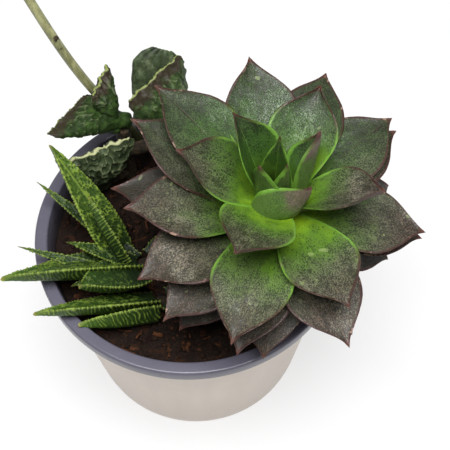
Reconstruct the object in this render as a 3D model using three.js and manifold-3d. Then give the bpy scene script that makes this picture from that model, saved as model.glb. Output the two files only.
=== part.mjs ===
// A round plastic plant pot with three succulents growing in one bed of soil: a large fleshy rosette,
// a small clump of thick leaves with crinkled crests and a bare flower stalk, and a clump of narrow
// leaves with raised cross ridges. Millimetres, +Z up, origin at the middle of the pot's flat base.
// +X is to the right and -Y to the front, as the pot is seen in the photograph.
import * as THREE from "three";
import { mergeVertices } from "three/addons/utils/BufferGeometryUtils.js";
import Module from "manifold-3d";

// ---- Driving dimensions -------------------------------------------------------------------------
const POT_HEIGHT = 76;
const RIM_RADIUS = 52.5;
const RIM_WIDTH = 4.4;
const RIM_DROP = 4.6;
const BASE_RADIUS = 38.5;
const WALL = 1.2;
const FLOOR = 1.4;
const BASE_CORNER = 2.5;
const LIP_CORNER = 0.45;
const DRAIN_HOLES = 6;
const DRAIN_RADIUS = 3.2;
const DRAIN_CIRCLE = 25;

const SOIL_BELOW_RIM = 9;
const SOIL_LUMP = 1.1;
const FIT_GAP = 0.35;
const STEM_DEPTH = 12;

const POT_SIDES = 48;
const HOLE_SIDES = 16;
const STEM_SIDES = 12;
const SHOOT_SIDES = 8;

const SOIL_LEVEL = POT_HEIGHT - SOIL_BELOW_RIM;
const WALL_TOP_RADIUS = RIM_RADIUS - RIM_WIDTH;

// Where each plant stands in the soil, and how its stem leans: towards which turn, by how much.
const ROSETTE_FOOT = { x: 26, y: -10, lean: 4, towards: -40 };
const CRINKLE_FOOT = { x: -20, y: 32, lean: 0, towards: 0 };
const RIDGED_FOOT = { x: -16, y: -8, lean: 0, towards: 0 };
const OFFSET_FOOT = { x: -11, y: -22, lean: 0, towards: 0 };
const STALK_FOOT = { x: -14, y: 41, lean: 0, towards: 0 };

const ROSETTE_STEM_RADIUS = 4.5;
const CRINKLE_STEM_RADIUS = 3.6;
const CRINKLE_SHOOT_RADIUS = 2.6;
const RIDGED_STEM_RADIUS = 5.5;
const OFFSET_STEM_RADIUS = 3.5;
const STALK_RADIUS = 1.55;

// ---- Materials ----------------------------------------------------------------------------------
const finish = (color, roughness) => new THREE.MeshStandardMaterial({ color, roughness, metalness: 0 });
const potPlastic = finish(0xcbbfb4, 0.45);
const darkSoil = finish(0x2a1a12, 0.95);
const rosetteLeaf = finish(0x5c6e45, 0.5);
const crinkleLeaf = finish(0x4e5d3c, 0.55);
const ridgedLeaf = finish(0x4d7a2a, 0.5);
const paleStalk = finish(0x8f9468, 0.6);

// ---- Small helpers ------------------------------------------------------------------------------
const wasm = await Module();
wasm.setup();

const radians = THREE.MathUtils.degToRad;
const lerp = THREE.MathUtils.lerp;

// A closed geometry as a solid that can be joined and cut.
function solid(geometry) {
  const bare = geometry.index ? geometry.toNonIndexed() : geometry.clone();
  bare.deleteAttribute("normal");
  bare.deleteAttribute("uv");
  const merged = mergeVertices(bare, 1e-4);
  return new wasm.Manifold(
    new wasm.Mesh({
      numProp: 3,
      vertProperties: new Float32Array(merged.attributes.position.array),
      triVerts: new Uint32Array(merged.index.array),
    }),
  );
}

// A joined solid as a named mesh. Fusing can shut off a scrap, so only the largest body is kept.
function meshOf(name, joined, material) {
  const bodies = joined.decompose().sort((a, b) => b.volume() - a.volume());
  const mesh = bodies[0].getMesh();
  const geometry = new THREE.BufferGeometry();
  geometry.setAttribute("position", new THREE.BufferAttribute(mesh.vertProperties, 3));
  geometry.setIndex(new THREE.BufferAttribute(mesh.triVerts, 1));
  geometry.computeVertexNormals();
  const made = new THREE.Mesh(geometry, material);
  made.name = name;
  return made;
}

// A plain post along +Z from one height to another.
function post(radius, from, to, sides) {
  const cylinder = new THREE.CylinderGeometry(radius, radius, to - from, sides);
  cylinder.rotateX(Math.PI / 2);
  cylinder.translate(0, 0, (from + to) / 2);
  return cylinder;
}

// A round rod from one point to another.
function rod(radius, from, to, sides) {
  const start = new THREE.Vector3(...from);
  const reach = new THREE.Vector3(...to).sub(start);
  const cylinder = post(radius, 0, reach.length(), sides);
  const up = new THREE.Vector3(0, 0, 1);
  cylinder.applyQuaternion(new THREE.Quaternion().setFromUnitVectors(up, reach.normalize()));
  return cylinder.translate(start.x, start.y, start.z);
}

// The place of a plant: at its foot in the soil, with its stem leaning.
function placeOf(foot) {
  const towards = radians(foot.towards);
  const across = new THREE.Vector3(-Math.sin(towards), Math.cos(towards), 0);
  const lean = new THREE.Matrix4().makeRotationAxis(across, radians(foot.lean));
  return lean.setPosition(foot.x, foot.y, SOIL_LEVEL);
}

// A smooth value along a list of [position, value] points.
function along(points, t) {
  const last = points.length - 1;
  const next = Math.max(1, points.findIndex(([at]) => at >= t));
  const [p0, p1, p2, p3] = [next - 2, next - 1, next, next + 1].map(
    (i) => points[Math.min(Math.max(i, 0), last)],
  );
  const span = p2[0] - p1[0];
  const u = (t - p1[0]) / span;
  const m1 = ((p2[1] - p0[1]) / (p2[0] - p0[0])) * span;
  const m2 = ((p3[1] - p1[1]) / (p3[0] - p1[0])) * span;
  const u2 = u * u;
  const u3 = u2 * u;
  return (2 * u3 - 3 * u2 + 1) * p1[1] + (u3 - 2 * u2 + u) * m1
    + (3 * u2 - 2 * u3) * p2[1] + (u3 - u2) * m2;
}

// ---- One leaf -----------------------------------------------------------------------------------
// A leaf grows from its base along an arc that starts at `pitch` above level and bends by `bend`.
// form.outline gives its half width, form.body its thickness, both as shares of the greatest one.
// form.section turns s, from -1 to 1 across the blade, and t along it into the heights of its upper
// and lower face. leaf.roll turns the blade about its own line, and leaf.turn is its compass turn.
function leafGeometry(form, leaf) {
  const stations = form.stations;
  const across = form.across;
  const ring = 2 * across.length - 2;
  const bend = radians(leaf.bend);
  const pitch = radians(leaf.pitch);
  const positions = [];
  const indices = [];
  const place = new THREE.Matrix4()
    .makeRotationZ(radians(leaf.turn))
    .multiply(new THREE.Matrix4().makeRotationY(-pitch))
    .multiply(new THREE.Matrix4().makeRotationX(radians(leaf.roll ?? 0)));
  place.setPosition(leaf.x, leaf.y, leaf.z);
  const point = new THREE.Vector3();

  function put(t, y, height) {
    const reach = t * (1 + ((leaf.skew ?? 0) * 2 * y) / leaf.width);
    const arc = Math.abs(bend) < 1e-3 ? 1e-3 : bend;
    const angle = arc * reach;
    const run = (leaf.length * Math.sin(angle)) / arc;
    const rise = (leaf.length * (1 - Math.cos(angle))) / arc;
    point.set(run - height * Math.sin(angle), y, rise + height * Math.cos(angle));
    point.applyMatrix4(place);
    positions.push(point.x, point.y, point.z);
  }

  stations.forEach((t) => {
    const half = (leaf.width / 2) * along(form.outline, t);
    const thick = leaf.thick * along(form.body, t);
    across.forEach((s) => put(t, half * s, form.section(s, t, leaf, thick).upper));
    const back = across.slice(1, -1).reverse();
    back.forEach((s) => put(t, half * s, form.section(s, t, leaf, thick).lower));
  });
  const tip = positions.length / 3;
  put(1, 0, form.section(0, 1, leaf, 0).upper);
  const root = tip + 1;
  put(0, 0, 0);

  for (let i = 0; i < stations.length - 1; i++) {
    for (let j = 0; j < ring; j++) {
      const a = i * ring + j;
      const b = i * ring + ((j + 1) % ring);
      indices.push(a, a + ring, b, b, a + ring, b + ring);
    }
  }
  const end = (stations.length - 1) * ring;
  for (let j = 0; j < ring; j++) {
    indices.push(end + j, tip, end + ((j + 1) % ring));
    indices.push(j, (j + 1) % ring, root);
  }
  const geometry = new THREE.BufferGeometry();
  geometry.setAttribute("position", new THREE.Float32BufferAttribute(positions, 3));
  geometry.setIndex(indices);
  return geometry;
}

// Joins a plant's stems and leaves into one solid.
function grown(pieces) {
  return pieces.map(solid).reduce((whole, piece) => whole.add(piece));
}

// ---- Pot ----------------------------------------------------------------------------------------
// A thin tapered cup whose lip is turned out and down, with drain holes round its base.
function wallRadius(z) {
  return lerp(BASE_RADIUS, WALL_TOP_RADIUS + WALL, z / POT_HEIGHT);
}

function makePot() {
  const top = POT_HEIGHT;
  const profile = [
    [0, 0],
    [BASE_RADIUS - BASE_CORNER, 0],
    [BASE_RADIUS - BASE_CORNER / 3, BASE_CORNER / 3],
    [wallRadius(BASE_CORNER), BASE_CORNER],
    [wallRadius(top - WALL), top - WALL],
    [RIM_RADIUS - WALL, top - WALL],
    [RIM_RADIUS - WALL, top - RIM_DROP],
    [RIM_RADIUS, top - RIM_DROP],
    [RIM_RADIUS, top - LIP_CORNER],
    [RIM_RADIUS - LIP_CORNER, top],
    [WALL_TOP_RADIUS + LIP_CORNER, top],
    [WALL_TOP_RADIUS, top - LIP_CORNER],
    [wallRadius(FLOOR) - WALL, FLOOR],
    [0, FLOOR],
  ].map(([r, z]) => new THREE.Vector2(r, z));
  const cup = new THREE.LatheGeometry(profile, POT_SIDES);
  cup.rotateX(Math.PI / 2);
  let pot = solid(cup);
  for (let i = 0; i < DRAIN_HOLES; i++) {
    const turn = (2 * Math.PI * i) / DRAIN_HOLES;
    const hole = post(DRAIN_RADIUS, -FLOOR, 2 * FLOOR, HOLE_SIDES);
    hole.translate(DRAIN_CIRCLE * Math.cos(turn), DRAIN_CIRCLE * Math.sin(turn), 0);
    pot = pot.subtract(solid(hole));
  }
  return meshOf("pot", pot, potPlastic);
}

// ---- Soil ---------------------------------------------------------------------------------------
// Fills the pot to below its rim, lumpy on top, with a plain hole for each stem.
function soilHeight(x, y) {
  const lumps = Math.sin(0.31 * x + 1.3) * Math.cos(0.27 * y) + 0.6 * Math.sin(0.63 * x - 0.49 * y);
  return SOIL_LEVEL + SOIL_LUMP * lumps;
}

function makeSoil() {
  const rings = [0.8, 0.6, 0.4, 0.2];
  const edge = wallRadius(SOIL_LEVEL) - WALL - FIT_GAP;
  const foot = wallRadius(FLOOR) - WALL - FIT_GAP;
  const profile = [
    [0, FLOOR + FIT_GAP],
    [foot, FLOOR + FIT_GAP],
    [edge, SOIL_LEVEL],
    ...rings.map((share) => [share * edge, SOIL_LEVEL]),
    [0, SOIL_LEVEL],
  ].map(([r, z]) => new THREE.Vector2(r, z));
  const fill = new THREE.LatheGeometry(profile, POT_SIDES);
  fill.rotateX(Math.PI / 2);
  const at = fill.attributes.position;
  for (let i = 0; i < at.count; i++) {
    const [x, y] = [at.getX(i), at.getY(i)];
    const onTop = at.getZ(i) > SOIL_LEVEL - FIT_GAP;
    const inside = Math.hypot(x, y) < (1 + rings[0]) / 2 * edge;
    if (onTop && inside) at.setZ(i, soilHeight(x, y));
  }
  let soil = solid(fill);
  const stems = [
    [ROSETTE_FOOT, ROSETTE_STEM_RADIUS],
    [CRINKLE_FOOT, CRINKLE_STEM_RADIUS],
    [RIDGED_FOOT, RIDGED_STEM_RADIUS],
    [OFFSET_FOOT, OFFSET_STEM_RADIUS],
    [STALK_FOOT, STALK_RADIUS],
  ];
  for (const [plant, radius] of stems) {
    const hole = post(radius + FIT_GAP, -STEM_DEPTH - FIT_GAP, 2 * SOIL_BELOW_RIM, HOLE_SIDES);
    soil = soil.subtract(solid(hole.applyMatrix4(placeOf(plant))));
  }
  return meshOf("soil", soil, darkSoil);
}

// ---- Rosette ------------------------------------------------------------------------------------
// A fleshy leaf, widest two thirds of the way out, with thin turned-up margins and a sharp point.
const ROSETTE_HEART = 44;
const rosetteForm = {
  stations: [0, 0.2, 0.4, 0.57, 0.7, 0.81, 0.9, 0.95],
  across: [-1, -0.55, 0, 0.55, 1],
  outline: [
    [0, 0.34], [0.2, 0.54], [0.42, 0.86], [0.58, 1],
    [0.7, 0.9], [0.8, 0.65], [0.9, 0.28], [0.95, 0.11], [1, 0],
  ],
  body: [[0, 1], [0.4, 1], [0.75, 0.7], [0.94, 0.4], [1, 0.2]],
  section(s, t, leaf, thick) {
    const trough = leaf.cup * s * s * Math.sin(Math.PI * Math.min(1, 0.2 + 0.8 * t));
    const swell = 1 - s * s;
    return { upper: trough + 0.25 * thick * swell, lower: trough - 0.75 * thick * swell };
  },
};
// The young leaves of the heart are broad at their base.
const heartForm = {
  ...rosetteForm,
  outline: [
    [0, 0.8], [0.2, 0.98], [0.4, 0.92], [0.57, 0.74],
    [0.7, 0.54], [0.81, 0.34], [0.9, 0.16], [0.95, 0.08], [1, 0],
  ],
};

// Whorls from the heart out. The whorl gives the height of its leaf bases below the heart and the
// cross-section, and each leaf is [turn, pitch, bend, length, width, roll].
const ROSETTE_WHORLS = [
  { form: heartForm, drop: -3, thick: 2, cup: 1.8,
    leaves: [
      [100, 72, -4, 19, 9, 0],
      [190, 75, -4, 21, 9, 0],
      [20, 86, -4, 14, 8, 0],
    ] },
  { form: heartForm, drop: 0, thick: 2.2, cup: 3,
    leaves: [
      [285, 60, 10, 17, 15, 0],
      [328, 68, 8, 19, 13, 0],
    ] },
  { form: rosetteForm, drop: 3, thick: 2.8, cup: 3.6,
    leaves: [
      [133, 63, -8, 35, 15, 0],
      [34, 73, -8, 31, 15, 0],
    ] },
  { form: rosetteForm, drop: 6, thick: 3.4, cup: 3.2,
    leaves: [
      [167, 51, -24, 40, 22, 0],
      [238, 53, -30, 40, 24, 0],
      [352, 46, -24, 35, 22, -25],
      [65, 46, -24, 39, 22, 0],
    ] },
  { form: rosetteForm, drop: 8.5, thick: 3.8, cup: 2.6,
    leaves: [
      [98, 38, -26, 49, 24, 0],
      [292, 31, -30, 43, 24, 0],
      [138, 36, -18, 54, 24, 0],
      [248, 25, -34, 50, 25, 0],
    ] },
  { form: rosetteForm, drop: 11, thick: 4, cup: 2.2,
    leaves: [
      [183, 32, -30, 49, 24, 0],
      [36, 24, -24, 48, 24, 0],
      [349, 16, -30, 45, 24, 0],
      [67, 26, -30, 51, 23, 0],
    ] },
  { form: rosetteForm, drop: 13.5, thick: 4, cup: 2,
    leaves: [
      [206, 26, -36, 50, 24, 0],
      [290, 22, -36, 48, 25, 0],
      [151, 36, -20, 55, 23, 0],
      [250, 19, -38, 47, 24, 0],
      [33, 24, -30, 48, 23, 0],
    ] },
  { form: rosetteForm, drop: 16.5, thick: 3.8, cup: 1.8,
    leaves: [
      [167, 28, -40, 53, 22, 0],
      [219, 20, -46, 48, 22, 0],
      [351, 21, -44, 46, 22, 0],
      [106, 40, -110, 58, 26, 0],
      [260, 10, -46, 43, 22, 0],
      [345, 10, -50, 38, 22, 0],
      [22, 26, -70, 44, 22, 0],
    ] },
  { form: rosetteForm, drop: 20, thick: 3.6, cup: 1.6,
    leaves: [
      [221, 6, -44, 44, 20, 0],
      [58, 10, -60, 44, 20, 0],
      [88, 8, -60, 44, 20, 0],
      [190, 4, -56, 42, 20, 0],
      [308, -2, -50, 42, 20, 0],
      [20, 4, -60, 42, 20, 0],
      [135, 4, -56, 42, 20, 0],
    ] },
];
const LEAF_ROOT_INSIDE = 2.5;

function rosetteLeafAt(whorl, [turn, pitch, bend, length, width, roll]) {
  const inside = ROSETTE_STEM_RADIUS - LEAF_ROOT_INSIDE;
  const x = inside * Math.cos(radians(turn));
  const y = inside * Math.sin(radians(turn));
  const z = ROSETTE_HEART - whorl.drop;
  return { ...whorl, turn, pitch, bend, length, width, roll, x, y, z };
}

function rosetteLeaves() {
  return ROSETTE_WHORLS.flatMap((whorl) =>
    whorl.leaves.map((leaf) => leafGeometry(whorl.form, rosetteLeafAt(whorl, leaf))),
  );
}

function makeRosette() {
  const stem = post(ROSETTE_STEM_RADIUS, -STEM_DEPTH, ROSETTE_HEART + 1, STEM_SIDES);
  const rosette = meshOf("rosette", grown([stem, ...rosetteLeaves()]), rosetteLeaf);
  rosette.applyMatrix4(placeOf(ROSETTE_FOOT));
  return rosette;
}

// ---- Crinkle-leaf plant -------------------------------------------------------------------------
// A thick wedge that widens from a round stalk to a thin crinkled crest. leaf.skew slants the crest.
const crinkleForm = {
  stations: [0, 0.2, 0.4, 0.6, 0.78, 0.9, 0.96],
  across: [-1, -0.72, -0.42, -0.14, 0.14, 0.42, 0.72, 1],
  outline: [
    [0, 0.24], [0.2, 0.3], [0.4, 0.56], [0.6, 0.84], [0.78, 1], [0.9, 0.97], [0.96, 0.86], [1, 0.7],
  ],
  body: [[0, 0.62], [0.2, 0.7], [0.45, 1], [0.7, 0.86], [0.88, 0.46], [0.96, 0.22], [1, 0.18]],
  section(s, t, leaf, thick) {
    const crinkle = leaf.crinkle * Math.max(0, (t - 0.5) / 0.5) ** 2 * Math.sin(leaf.waves * s);
    const swell = Math.sqrt(Math.max(0, 1 - s * s));
    return { upper: crinkle + 0.5 * thick * swell, lower: crinkle - 0.5 * thick * swell };
  },
};

// The shoots of the plant, each from one point to another above the foot.
const CRINKLE_SHOOTS = [
  { from: [0, 0, -STEM_DEPTH], to: [0, 0, 31], radius: CRINKLE_STEM_RADIUS },
  { from: [0, 0, 14], to: [21, -3, 23], radius: CRINKLE_SHOOT_RADIUS },
  { from: [0, 0, 3], to: [-9, -7, 4], radius: CRINKLE_SHOOT_RADIUS },
];

// Each leaf stands on a shoot, at a point above the foot.
const CRINKLE_LEAVES = [
  { at: [-1, 0, 30], turn: 188, pitch: 26, bend: 0, roll: 10, length: 19, width: 20, skew: 0.55 },
  { at: [-1, 0, 30], turn: 110, pitch: 60, bend: 8, roll: 66, length: 21, width: 13, skew: 0 },
  { at: [-9, -7, 3], turn: 288, pitch: 80, bend: 10, roll: 0, length: 25, width: 24, skew: 0 },
  { at: [2, 0, 29], turn: 50, pitch: 56, bend: 0, roll: 45, length: 28, width: 17, skew: 0 },
  { at: [20, -3, 22], turn: 130, pitch: 62, bend: 0, roll: 10, length: 26, width: 24, skew: 0 },
];

function crinkleLeafAt(leaf) {
  const [x, y, z] = leaf.at;
  return { thick: 8, crinkle: 1.1, waves: 7, ...leaf, x, y, z };
}

function makeCrinklePlant() {
  const shoots = CRINKLE_SHOOTS.map((shoot) => rod(shoot.radius, shoot.from, shoot.to, SHOOT_SIDES));
  const leaves = CRINKLE_LEAVES.map((leaf) => leafGeometry(crinkleForm, crinkleLeafAt(leaf)));
  const plant = meshOf("crinkle_leaf_plant", grown([...shoots, ...leaves]), crinkleLeaf);
  plant.applyMatrix4(placeOf(CRINKLE_FOOT));
  return plant;
}

// ---- Ridged-leaf plant --------------------------------------------------------------------------
// A narrow pointed leaf, flat above and keeled below, with raised ridges across it.
const RIDGES = 6;
const RIDGE_HEIGHT = 0.4;
const RIDGED_TIP = 0.95;
const CROWN_HEIGHT = 4;
const ridgedForm = {
  stations: Array.from({ length: 2 * RIDGES + 1 }, (_, i) => (RIDGED_TIP * i) / (2 * RIDGES)),
  across: [-1, -0.5, 0, 0.5, 1],
  outline: [[0, 0.85], [0.25, 1], [0.55, 0.82], [0.8, 0.45], [0.95, 0.13], [1, 0]],
  body: [[0, 1], [0.5, 0.85], [0.85, 0.45], [1, 0.08]],
  section(s, t, leaf, thick) {
    const onRidge = Math.round((2 * RIDGES * t) / RIDGED_TIP) % 2;
    const ridge = RIDGE_HEIGHT * onRidge * (1 - s * s);
    const keel = 1 - Math.abs(s) ** 1.4;
    const trough = leaf.cup * s * s;
    return {
      upper: trough + 0.2 * thick * (1 - s * s) + 0.6 * ridge,
      lower: trough - 0.8 * thick * keel - ridge,
    };
  },
};

// Leaves as [turn, pitch, bend, length, width, roll], each from its own side of the crown.
const RIDGED_LEAVES = [
  [136, 50, -12, 49, 12, 20],
  [148, 60, 4, 32, 8, 70],
  [144, 24, 4, 43, 8, 0],
  [179, 22, 0, 41, 7, 0],
  [178, 38, -4, 28, 8, 0],
  [191, 27, -14, 48, 12, 30],
  [218, 34, -8, 28, 15, 10],
  [186, 24, -4, 36, 10, 0],
  [202, 14, -4, 24, 8, 0],
  [36, 12, 0, 20, 9, 0],
  [12, 10, 0, 22, 9, 0],
  [348, 12, 0, 16, 9, 0],
];
const OFFSET_LEAVES = [
  [190, 20, -8, 42, 10, 30],
  [200, 15, -6, 26, 9, 20],
  [330, 12, 0, 20, 8, 0],
  [8, 14, 0, 18, 8, 0],
];

function ridgedLeafAt(crownRadius, [turn, pitch, bend, length, width, roll]) {
  const x = (crownRadius / 2) * Math.cos(radians(turn));
  const y = (crownRadius / 2) * Math.sin(radians(turn));
  const z = CROWN_HEIGHT - 0.2;
  const thick = 0.42 * width;
  const cup = 0.1 * width;
  return { thick, cup, turn, pitch, bend, length, width, roll, x, y, z };
}

function makeRidgedClump(name, foot, crownRadius, leaves) {
  const stem = post(crownRadius, -STEM_DEPTH, CROWN_HEIGHT, STEM_SIDES);
  const blades = leaves.map((leaf) => leafGeometry(ridgedForm, ridgedLeafAt(crownRadius, leaf)));
  const clump = meshOf(name, grown([stem, ...blades]), ridgedLeaf);
  clump.applyMatrix4(placeOf(foot));
  return clump;
}

// ---- Flower stalk -------------------------------------------------------------------------------
const STALK_ROUTE = [
  [0, 0, -STEM_DEPTH],
  [0, 0, -5],
  [0, 0, 2],
  [-4, 0.5, 14],
  [-15.5, 2, 34],
  [-25, 5, 58],
  [-30.5, 9, 73],
  [-34.5, 11.5, 84],
];

function makeStalk() {
  const route = new THREE.CatmullRomCurve3(STALK_ROUTE.map((p) => new THREE.Vector3(...p)));
  const round = new THREE.Shape().absarc(0, 0, STALK_RADIUS, 0, 2 * Math.PI);
  const tube = new THREE.ExtrudeGeometry(round, { steps: 24, curveSegments: 4, extrudePath: route });
  const stalk = meshOf("flower_stalk", solid(tube), paleStalk);
  stalk.applyMatrix4(placeOf(STALK_FOOT));
  return stalk;
}

// ---- The potted succulents ----------------------------------------------------------------------
const potted = new THREE.Group();
potted.add(
  makePot(),
  makeSoil(),
  makeRosette(),
  makeCrinklePlant(),
  makeRidgedClump("ridged_leaf_plant", RIDGED_FOOT, RIDGED_STEM_RADIUS, RIDGED_LEAVES),
  makeRidgedClump("ridged_leaf_offset", OFFSET_FOOT, OFFSET_STEM_RADIUS, OFFSET_LEAVES),
  makeStalk(),
);

export default potted;
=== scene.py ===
# %% [markdown]
# # A pot of mixed succulents
#
# This lesson dresses a finished model of a potted succulent. The pot is thin round plastic, filled with
# dark potting mix. A broad grey-green rosette leans out over the right side. A clump of thick leaves with
# crinkled crests stands at the back with one bare flower stalk, and two crowns of narrow leaves with
# raised pale ridges grow at the left.
#
# The sizes come from the loaded model, so nothing here moves or resizes the real object.

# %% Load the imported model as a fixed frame
import math
import random

import bmesh
import bpy
import numpy as np
from mathutils import Matrix, Vector, noise
from mathutils.bvhtree import BVHTree


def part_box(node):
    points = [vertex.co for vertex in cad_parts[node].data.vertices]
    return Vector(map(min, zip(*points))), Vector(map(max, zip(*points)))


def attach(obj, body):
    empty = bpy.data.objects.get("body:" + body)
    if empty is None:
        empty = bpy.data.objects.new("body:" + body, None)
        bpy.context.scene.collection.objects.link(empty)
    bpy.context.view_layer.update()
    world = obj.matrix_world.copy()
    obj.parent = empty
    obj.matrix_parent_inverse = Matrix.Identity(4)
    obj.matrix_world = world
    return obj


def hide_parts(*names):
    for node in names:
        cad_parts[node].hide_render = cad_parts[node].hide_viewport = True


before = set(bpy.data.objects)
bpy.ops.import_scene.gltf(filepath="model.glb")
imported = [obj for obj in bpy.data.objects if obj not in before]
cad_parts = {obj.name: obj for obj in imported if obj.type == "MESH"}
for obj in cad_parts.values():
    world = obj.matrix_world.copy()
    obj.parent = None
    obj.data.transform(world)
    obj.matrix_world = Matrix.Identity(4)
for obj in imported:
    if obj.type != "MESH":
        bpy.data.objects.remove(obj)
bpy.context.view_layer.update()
print("nodes in the frame:", sorted(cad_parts))

# %% [markdown]
# ## Driving sizes
#
# Blender works in metres, and plants are easier to think of in millimetres, so one name turns the one
# into the other. The pot's height and lip come from the frame. The other sizes are those of the parts
# that the frame holds: how thick the plastic is, how deep the soil lies, and where each plant stands.

# %% Sizes
MM = 0.001
POT_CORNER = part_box("pot")[1]
POT_HEIGHT = POT_CORNER.z
LIP_RADIUS = POT_CORNER.x
LIP_WIDTH = 4.4 * MM
LIP_DROP = 4.6 * MM
WALL_TOP_RADIUS = LIP_RADIUS - LIP_WIDTH
BASE_RADIUS = 38.5 * MM
WALL = 1.2 * MM
FLOOR = 1.4 * MM
SOIL_BELOW_LIP = 9 * MM
SOIL_LEVEL = POT_HEIGHT - SOIL_BELOW_LIP
FIT_GAP = 0.35 * MM
STEM_DEPTH = 12 * MM


def wall_radius(height):
    """The outside radius of the tapered wall at a height."""
    return BASE_RADIUS + (WALL_TOP_RADIUS + WALL - BASE_RADIUS) * height / POT_HEIGHT


def plant_place(x, y, lean=0.0, towards=0.0):
    """Where a plant stands in the soil, with its stem leaning towards a compass turn, in mm and degrees."""
    axis = Matrix.Rotation(math.radians(towards), 4, "Z") @ Vector((0, 1, 0))
    leaning = Matrix.Rotation(math.radians(lean), 4, axis)
    return Matrix.Translation((x * MM, y * MM, SOIL_LEVEL)) @ leaning


SOIL_RADIUS = wall_radius(SOIL_LEVEL) - WALL
ROSETTE_PLACE = plant_place(26, -10, lean=4, towards=-40)
CRINKLE_PLACE = plant_place(-20, 32)
RIDGED_PLACE = plant_place(-16, -8)
OFFSET_PLACE = plant_place(-11, -22)
STALK_PLACE = plant_place(-14, 41)
print(f"pot {2 * LIP_RADIUS / MM:.0f} mm across and {POT_HEIGHT / MM:.0f} mm high")

# %% [markdown]
# ## The camera
#
# The camera stands where the photographer stood: in front, looking down at the middle of the pot's lip
# at about 59 degrees, from 40 cm, with a long lens. A small roll and a small shift give the photograph's
# framing. It comes first, so that every later piece can be judged in the same picture.

# %% Camera
CAMERA_DISTANCE = 0.400
CAMERA_ELEVATION = math.radians(59.09)
CAMERA_ROLL = math.radians(-4.35)
CAMERA_LENS = 95.08
CAMERA_SENSOR = 36
CAMERA_SHIFT = (0.0782, 0.0132)


def set_camera():
    """Looks along +Y and down at the middle of the lip."""
    aim = Vector((0, 0, POT_HEIGHT))
    forward = Vector((0, math.cos(CAMERA_ELEVATION), -math.sin(CAMERA_ELEVATION)))
    seen_from = Matrix.Translation(aim - CAMERA_DISTANCE * forward)
    tilt = Matrix.Rotation(math.pi / 2 - CAMERA_ELEVATION, 4, "X")
    bpy.ops.object.camera_add()
    camera = bpy.context.object
    camera.matrix_world = seen_from @ tilt @ Matrix.Rotation(CAMERA_ROLL, 4, "Z")
    camera.data.sensor_width = CAMERA_SENSOR
    camera.data.lens = CAMERA_LENS
    camera.data.shift_x, camera.data.shift_y = CAMERA_SHIFT
    bpy.context.scene.camera = camera
    return camera


camera = set_camera()
print("camera at", tuple(round(v, 3) for v in camera.matrix_world.translation))

# %% [markdown]
# ## A few hand tools
#
# Modelling by script is modelling by hand with the mouse left out: select something, then call an
# operator on it. These helpers do the selecting. `take` makes one piece the only selected one, `pick`
# selects vertices in edit mode by a rule on their place, and `press` adds a modifier and applies it.

# %% Hand tools


def take(piece):
    """Makes a piece the active and only selected object."""
    bpy.ops.object.select_all(action="DESELECT")
    piece.select_set(True)
    bpy.context.view_layer.objects.active = piece


def settle(piece):
    """Puts a piece's place, turn and scale into its mesh."""
    take(piece)
    bpy.ops.object.transform_apply(location=True, rotation=True, scale=True)


def stand(piece, matrix):
    """Moves a piece to its place on the pot, and puts that place into its mesh."""
    piece.matrix_world = matrix
    settle(piece)


def started(name, primitive, **settings):
    """Adds a primitive with nothing else selected, and names it."""
    bpy.ops.object.select_all(action="DESELECT")
    primitive(**settings)
    piece = bpy.context.object
    piece.name = piece.data.name = name
    settle(piece)
    return piece


def copy_of(blank, name):
    """A copy of a piece with a mesh of its own."""
    piece = blank.copy()
    piece.data = blank.data.copy()
    piece.name = piece.data.name = name
    bpy.context.scene.collection.objects.link(piece)
    return piece


def discard(piece):
    """Removes a blank or a cutter that has done its work."""
    bpy.data.objects.remove(piece)


def edit(piece, action="DESELECT"):
    """Opens a piece in edit mode with nothing selected, or with all of it for "SELECT"."""
    take(piece)
    bpy.ops.object.mode_set(mode="EDIT")
    bpy.ops.mesh.select_all(action=action)


def leave(outwards=False):
    """Goes back to object mode, with every face turned outwards if asked."""
    if outwards:
        bpy.ops.mesh.select_all(action="SELECT")
        bpy.ops.mesh.normals_make_consistent(inside=False)
    bpy.ops.object.mode_set(mode="OBJECT")


def pick(piece, rule, kind="verts"):
    """Selects the vertices, or the faces, of the piece in edit mode that the rule holds for."""
    mesh = bmesh.from_edit_mesh(piece.data)
    for vert in mesh.verts:
        vert.select = False
    mesh.select_flush(False)
    for item in getattr(mesh, kind):
        if rule(item):
            item.select_set(True)
    mesh.select_flush_mode()
    bmesh.update_edit_mesh(piece.data)


def press(piece, kind, **settings):
    """Adds a modifier to a piece and applies it."""
    take(piece)
    modifier = piece.modifiers.new(kind.title(), kind)
    for name, value in settings.items():
        setattr(modifier, name, value)
    bpy.ops.object.modifier_apply(modifier=modifier.name)


def clouds(name, size, depth=2):
    """A soft random pattern for the Displace modifier."""
    texture = bpy.data.textures.new(name, "CLOUDS")
    texture.noise_scale = size
    texture.noise_depth = depth
    return texture


def write_attribute(piece, name, values, kind="FLOAT"):
    """Stores one number or one vector per vertex."""
    attribute = piece.data.attributes.new(name, kind, "POINT")
    attribute.data.foreach_set("vector" if kind == "FLOAT_VECTOR" else "value", values)


def hand_over(piece, node, slot, *materials):
    """Smooths a finished piece, gives it its materials and its body, and hides the CAD node it replaces. The
    slot is not used.
    """
    take(piece)
    bpy.ops.object.shade_smooth()
    piece.data.materials.clear()
    for material in materials:
        piece.data.materials.append(material)
    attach(piece, "root")
    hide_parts(node)
    return piece


# %% [markdown]
# ## Laying out shader nodes
#
# A material is a small graph. `Bench` writes one with few words: each call adds a node, joins its inputs
# and hands back an output. `new_group` opens a node group with named sockets, which several materials
# can then share, each with its own values. `dress` joins the graph to the material's shader. A number that
# is the same all over the surface goes straight to the shader's own socket.

# %% Node bench


def paint(red, green, blue):
    """A colour as a painter reads it, 0 to 255, turned into the linear light that Blender mixes."""
    linear = [((c / 255 + 0.055) / 1.055) ** 2.4 if c > 10 else c / 255 / 12.92 for c in (red, green, blue)]
    return (*linear, 1.0)


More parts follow.
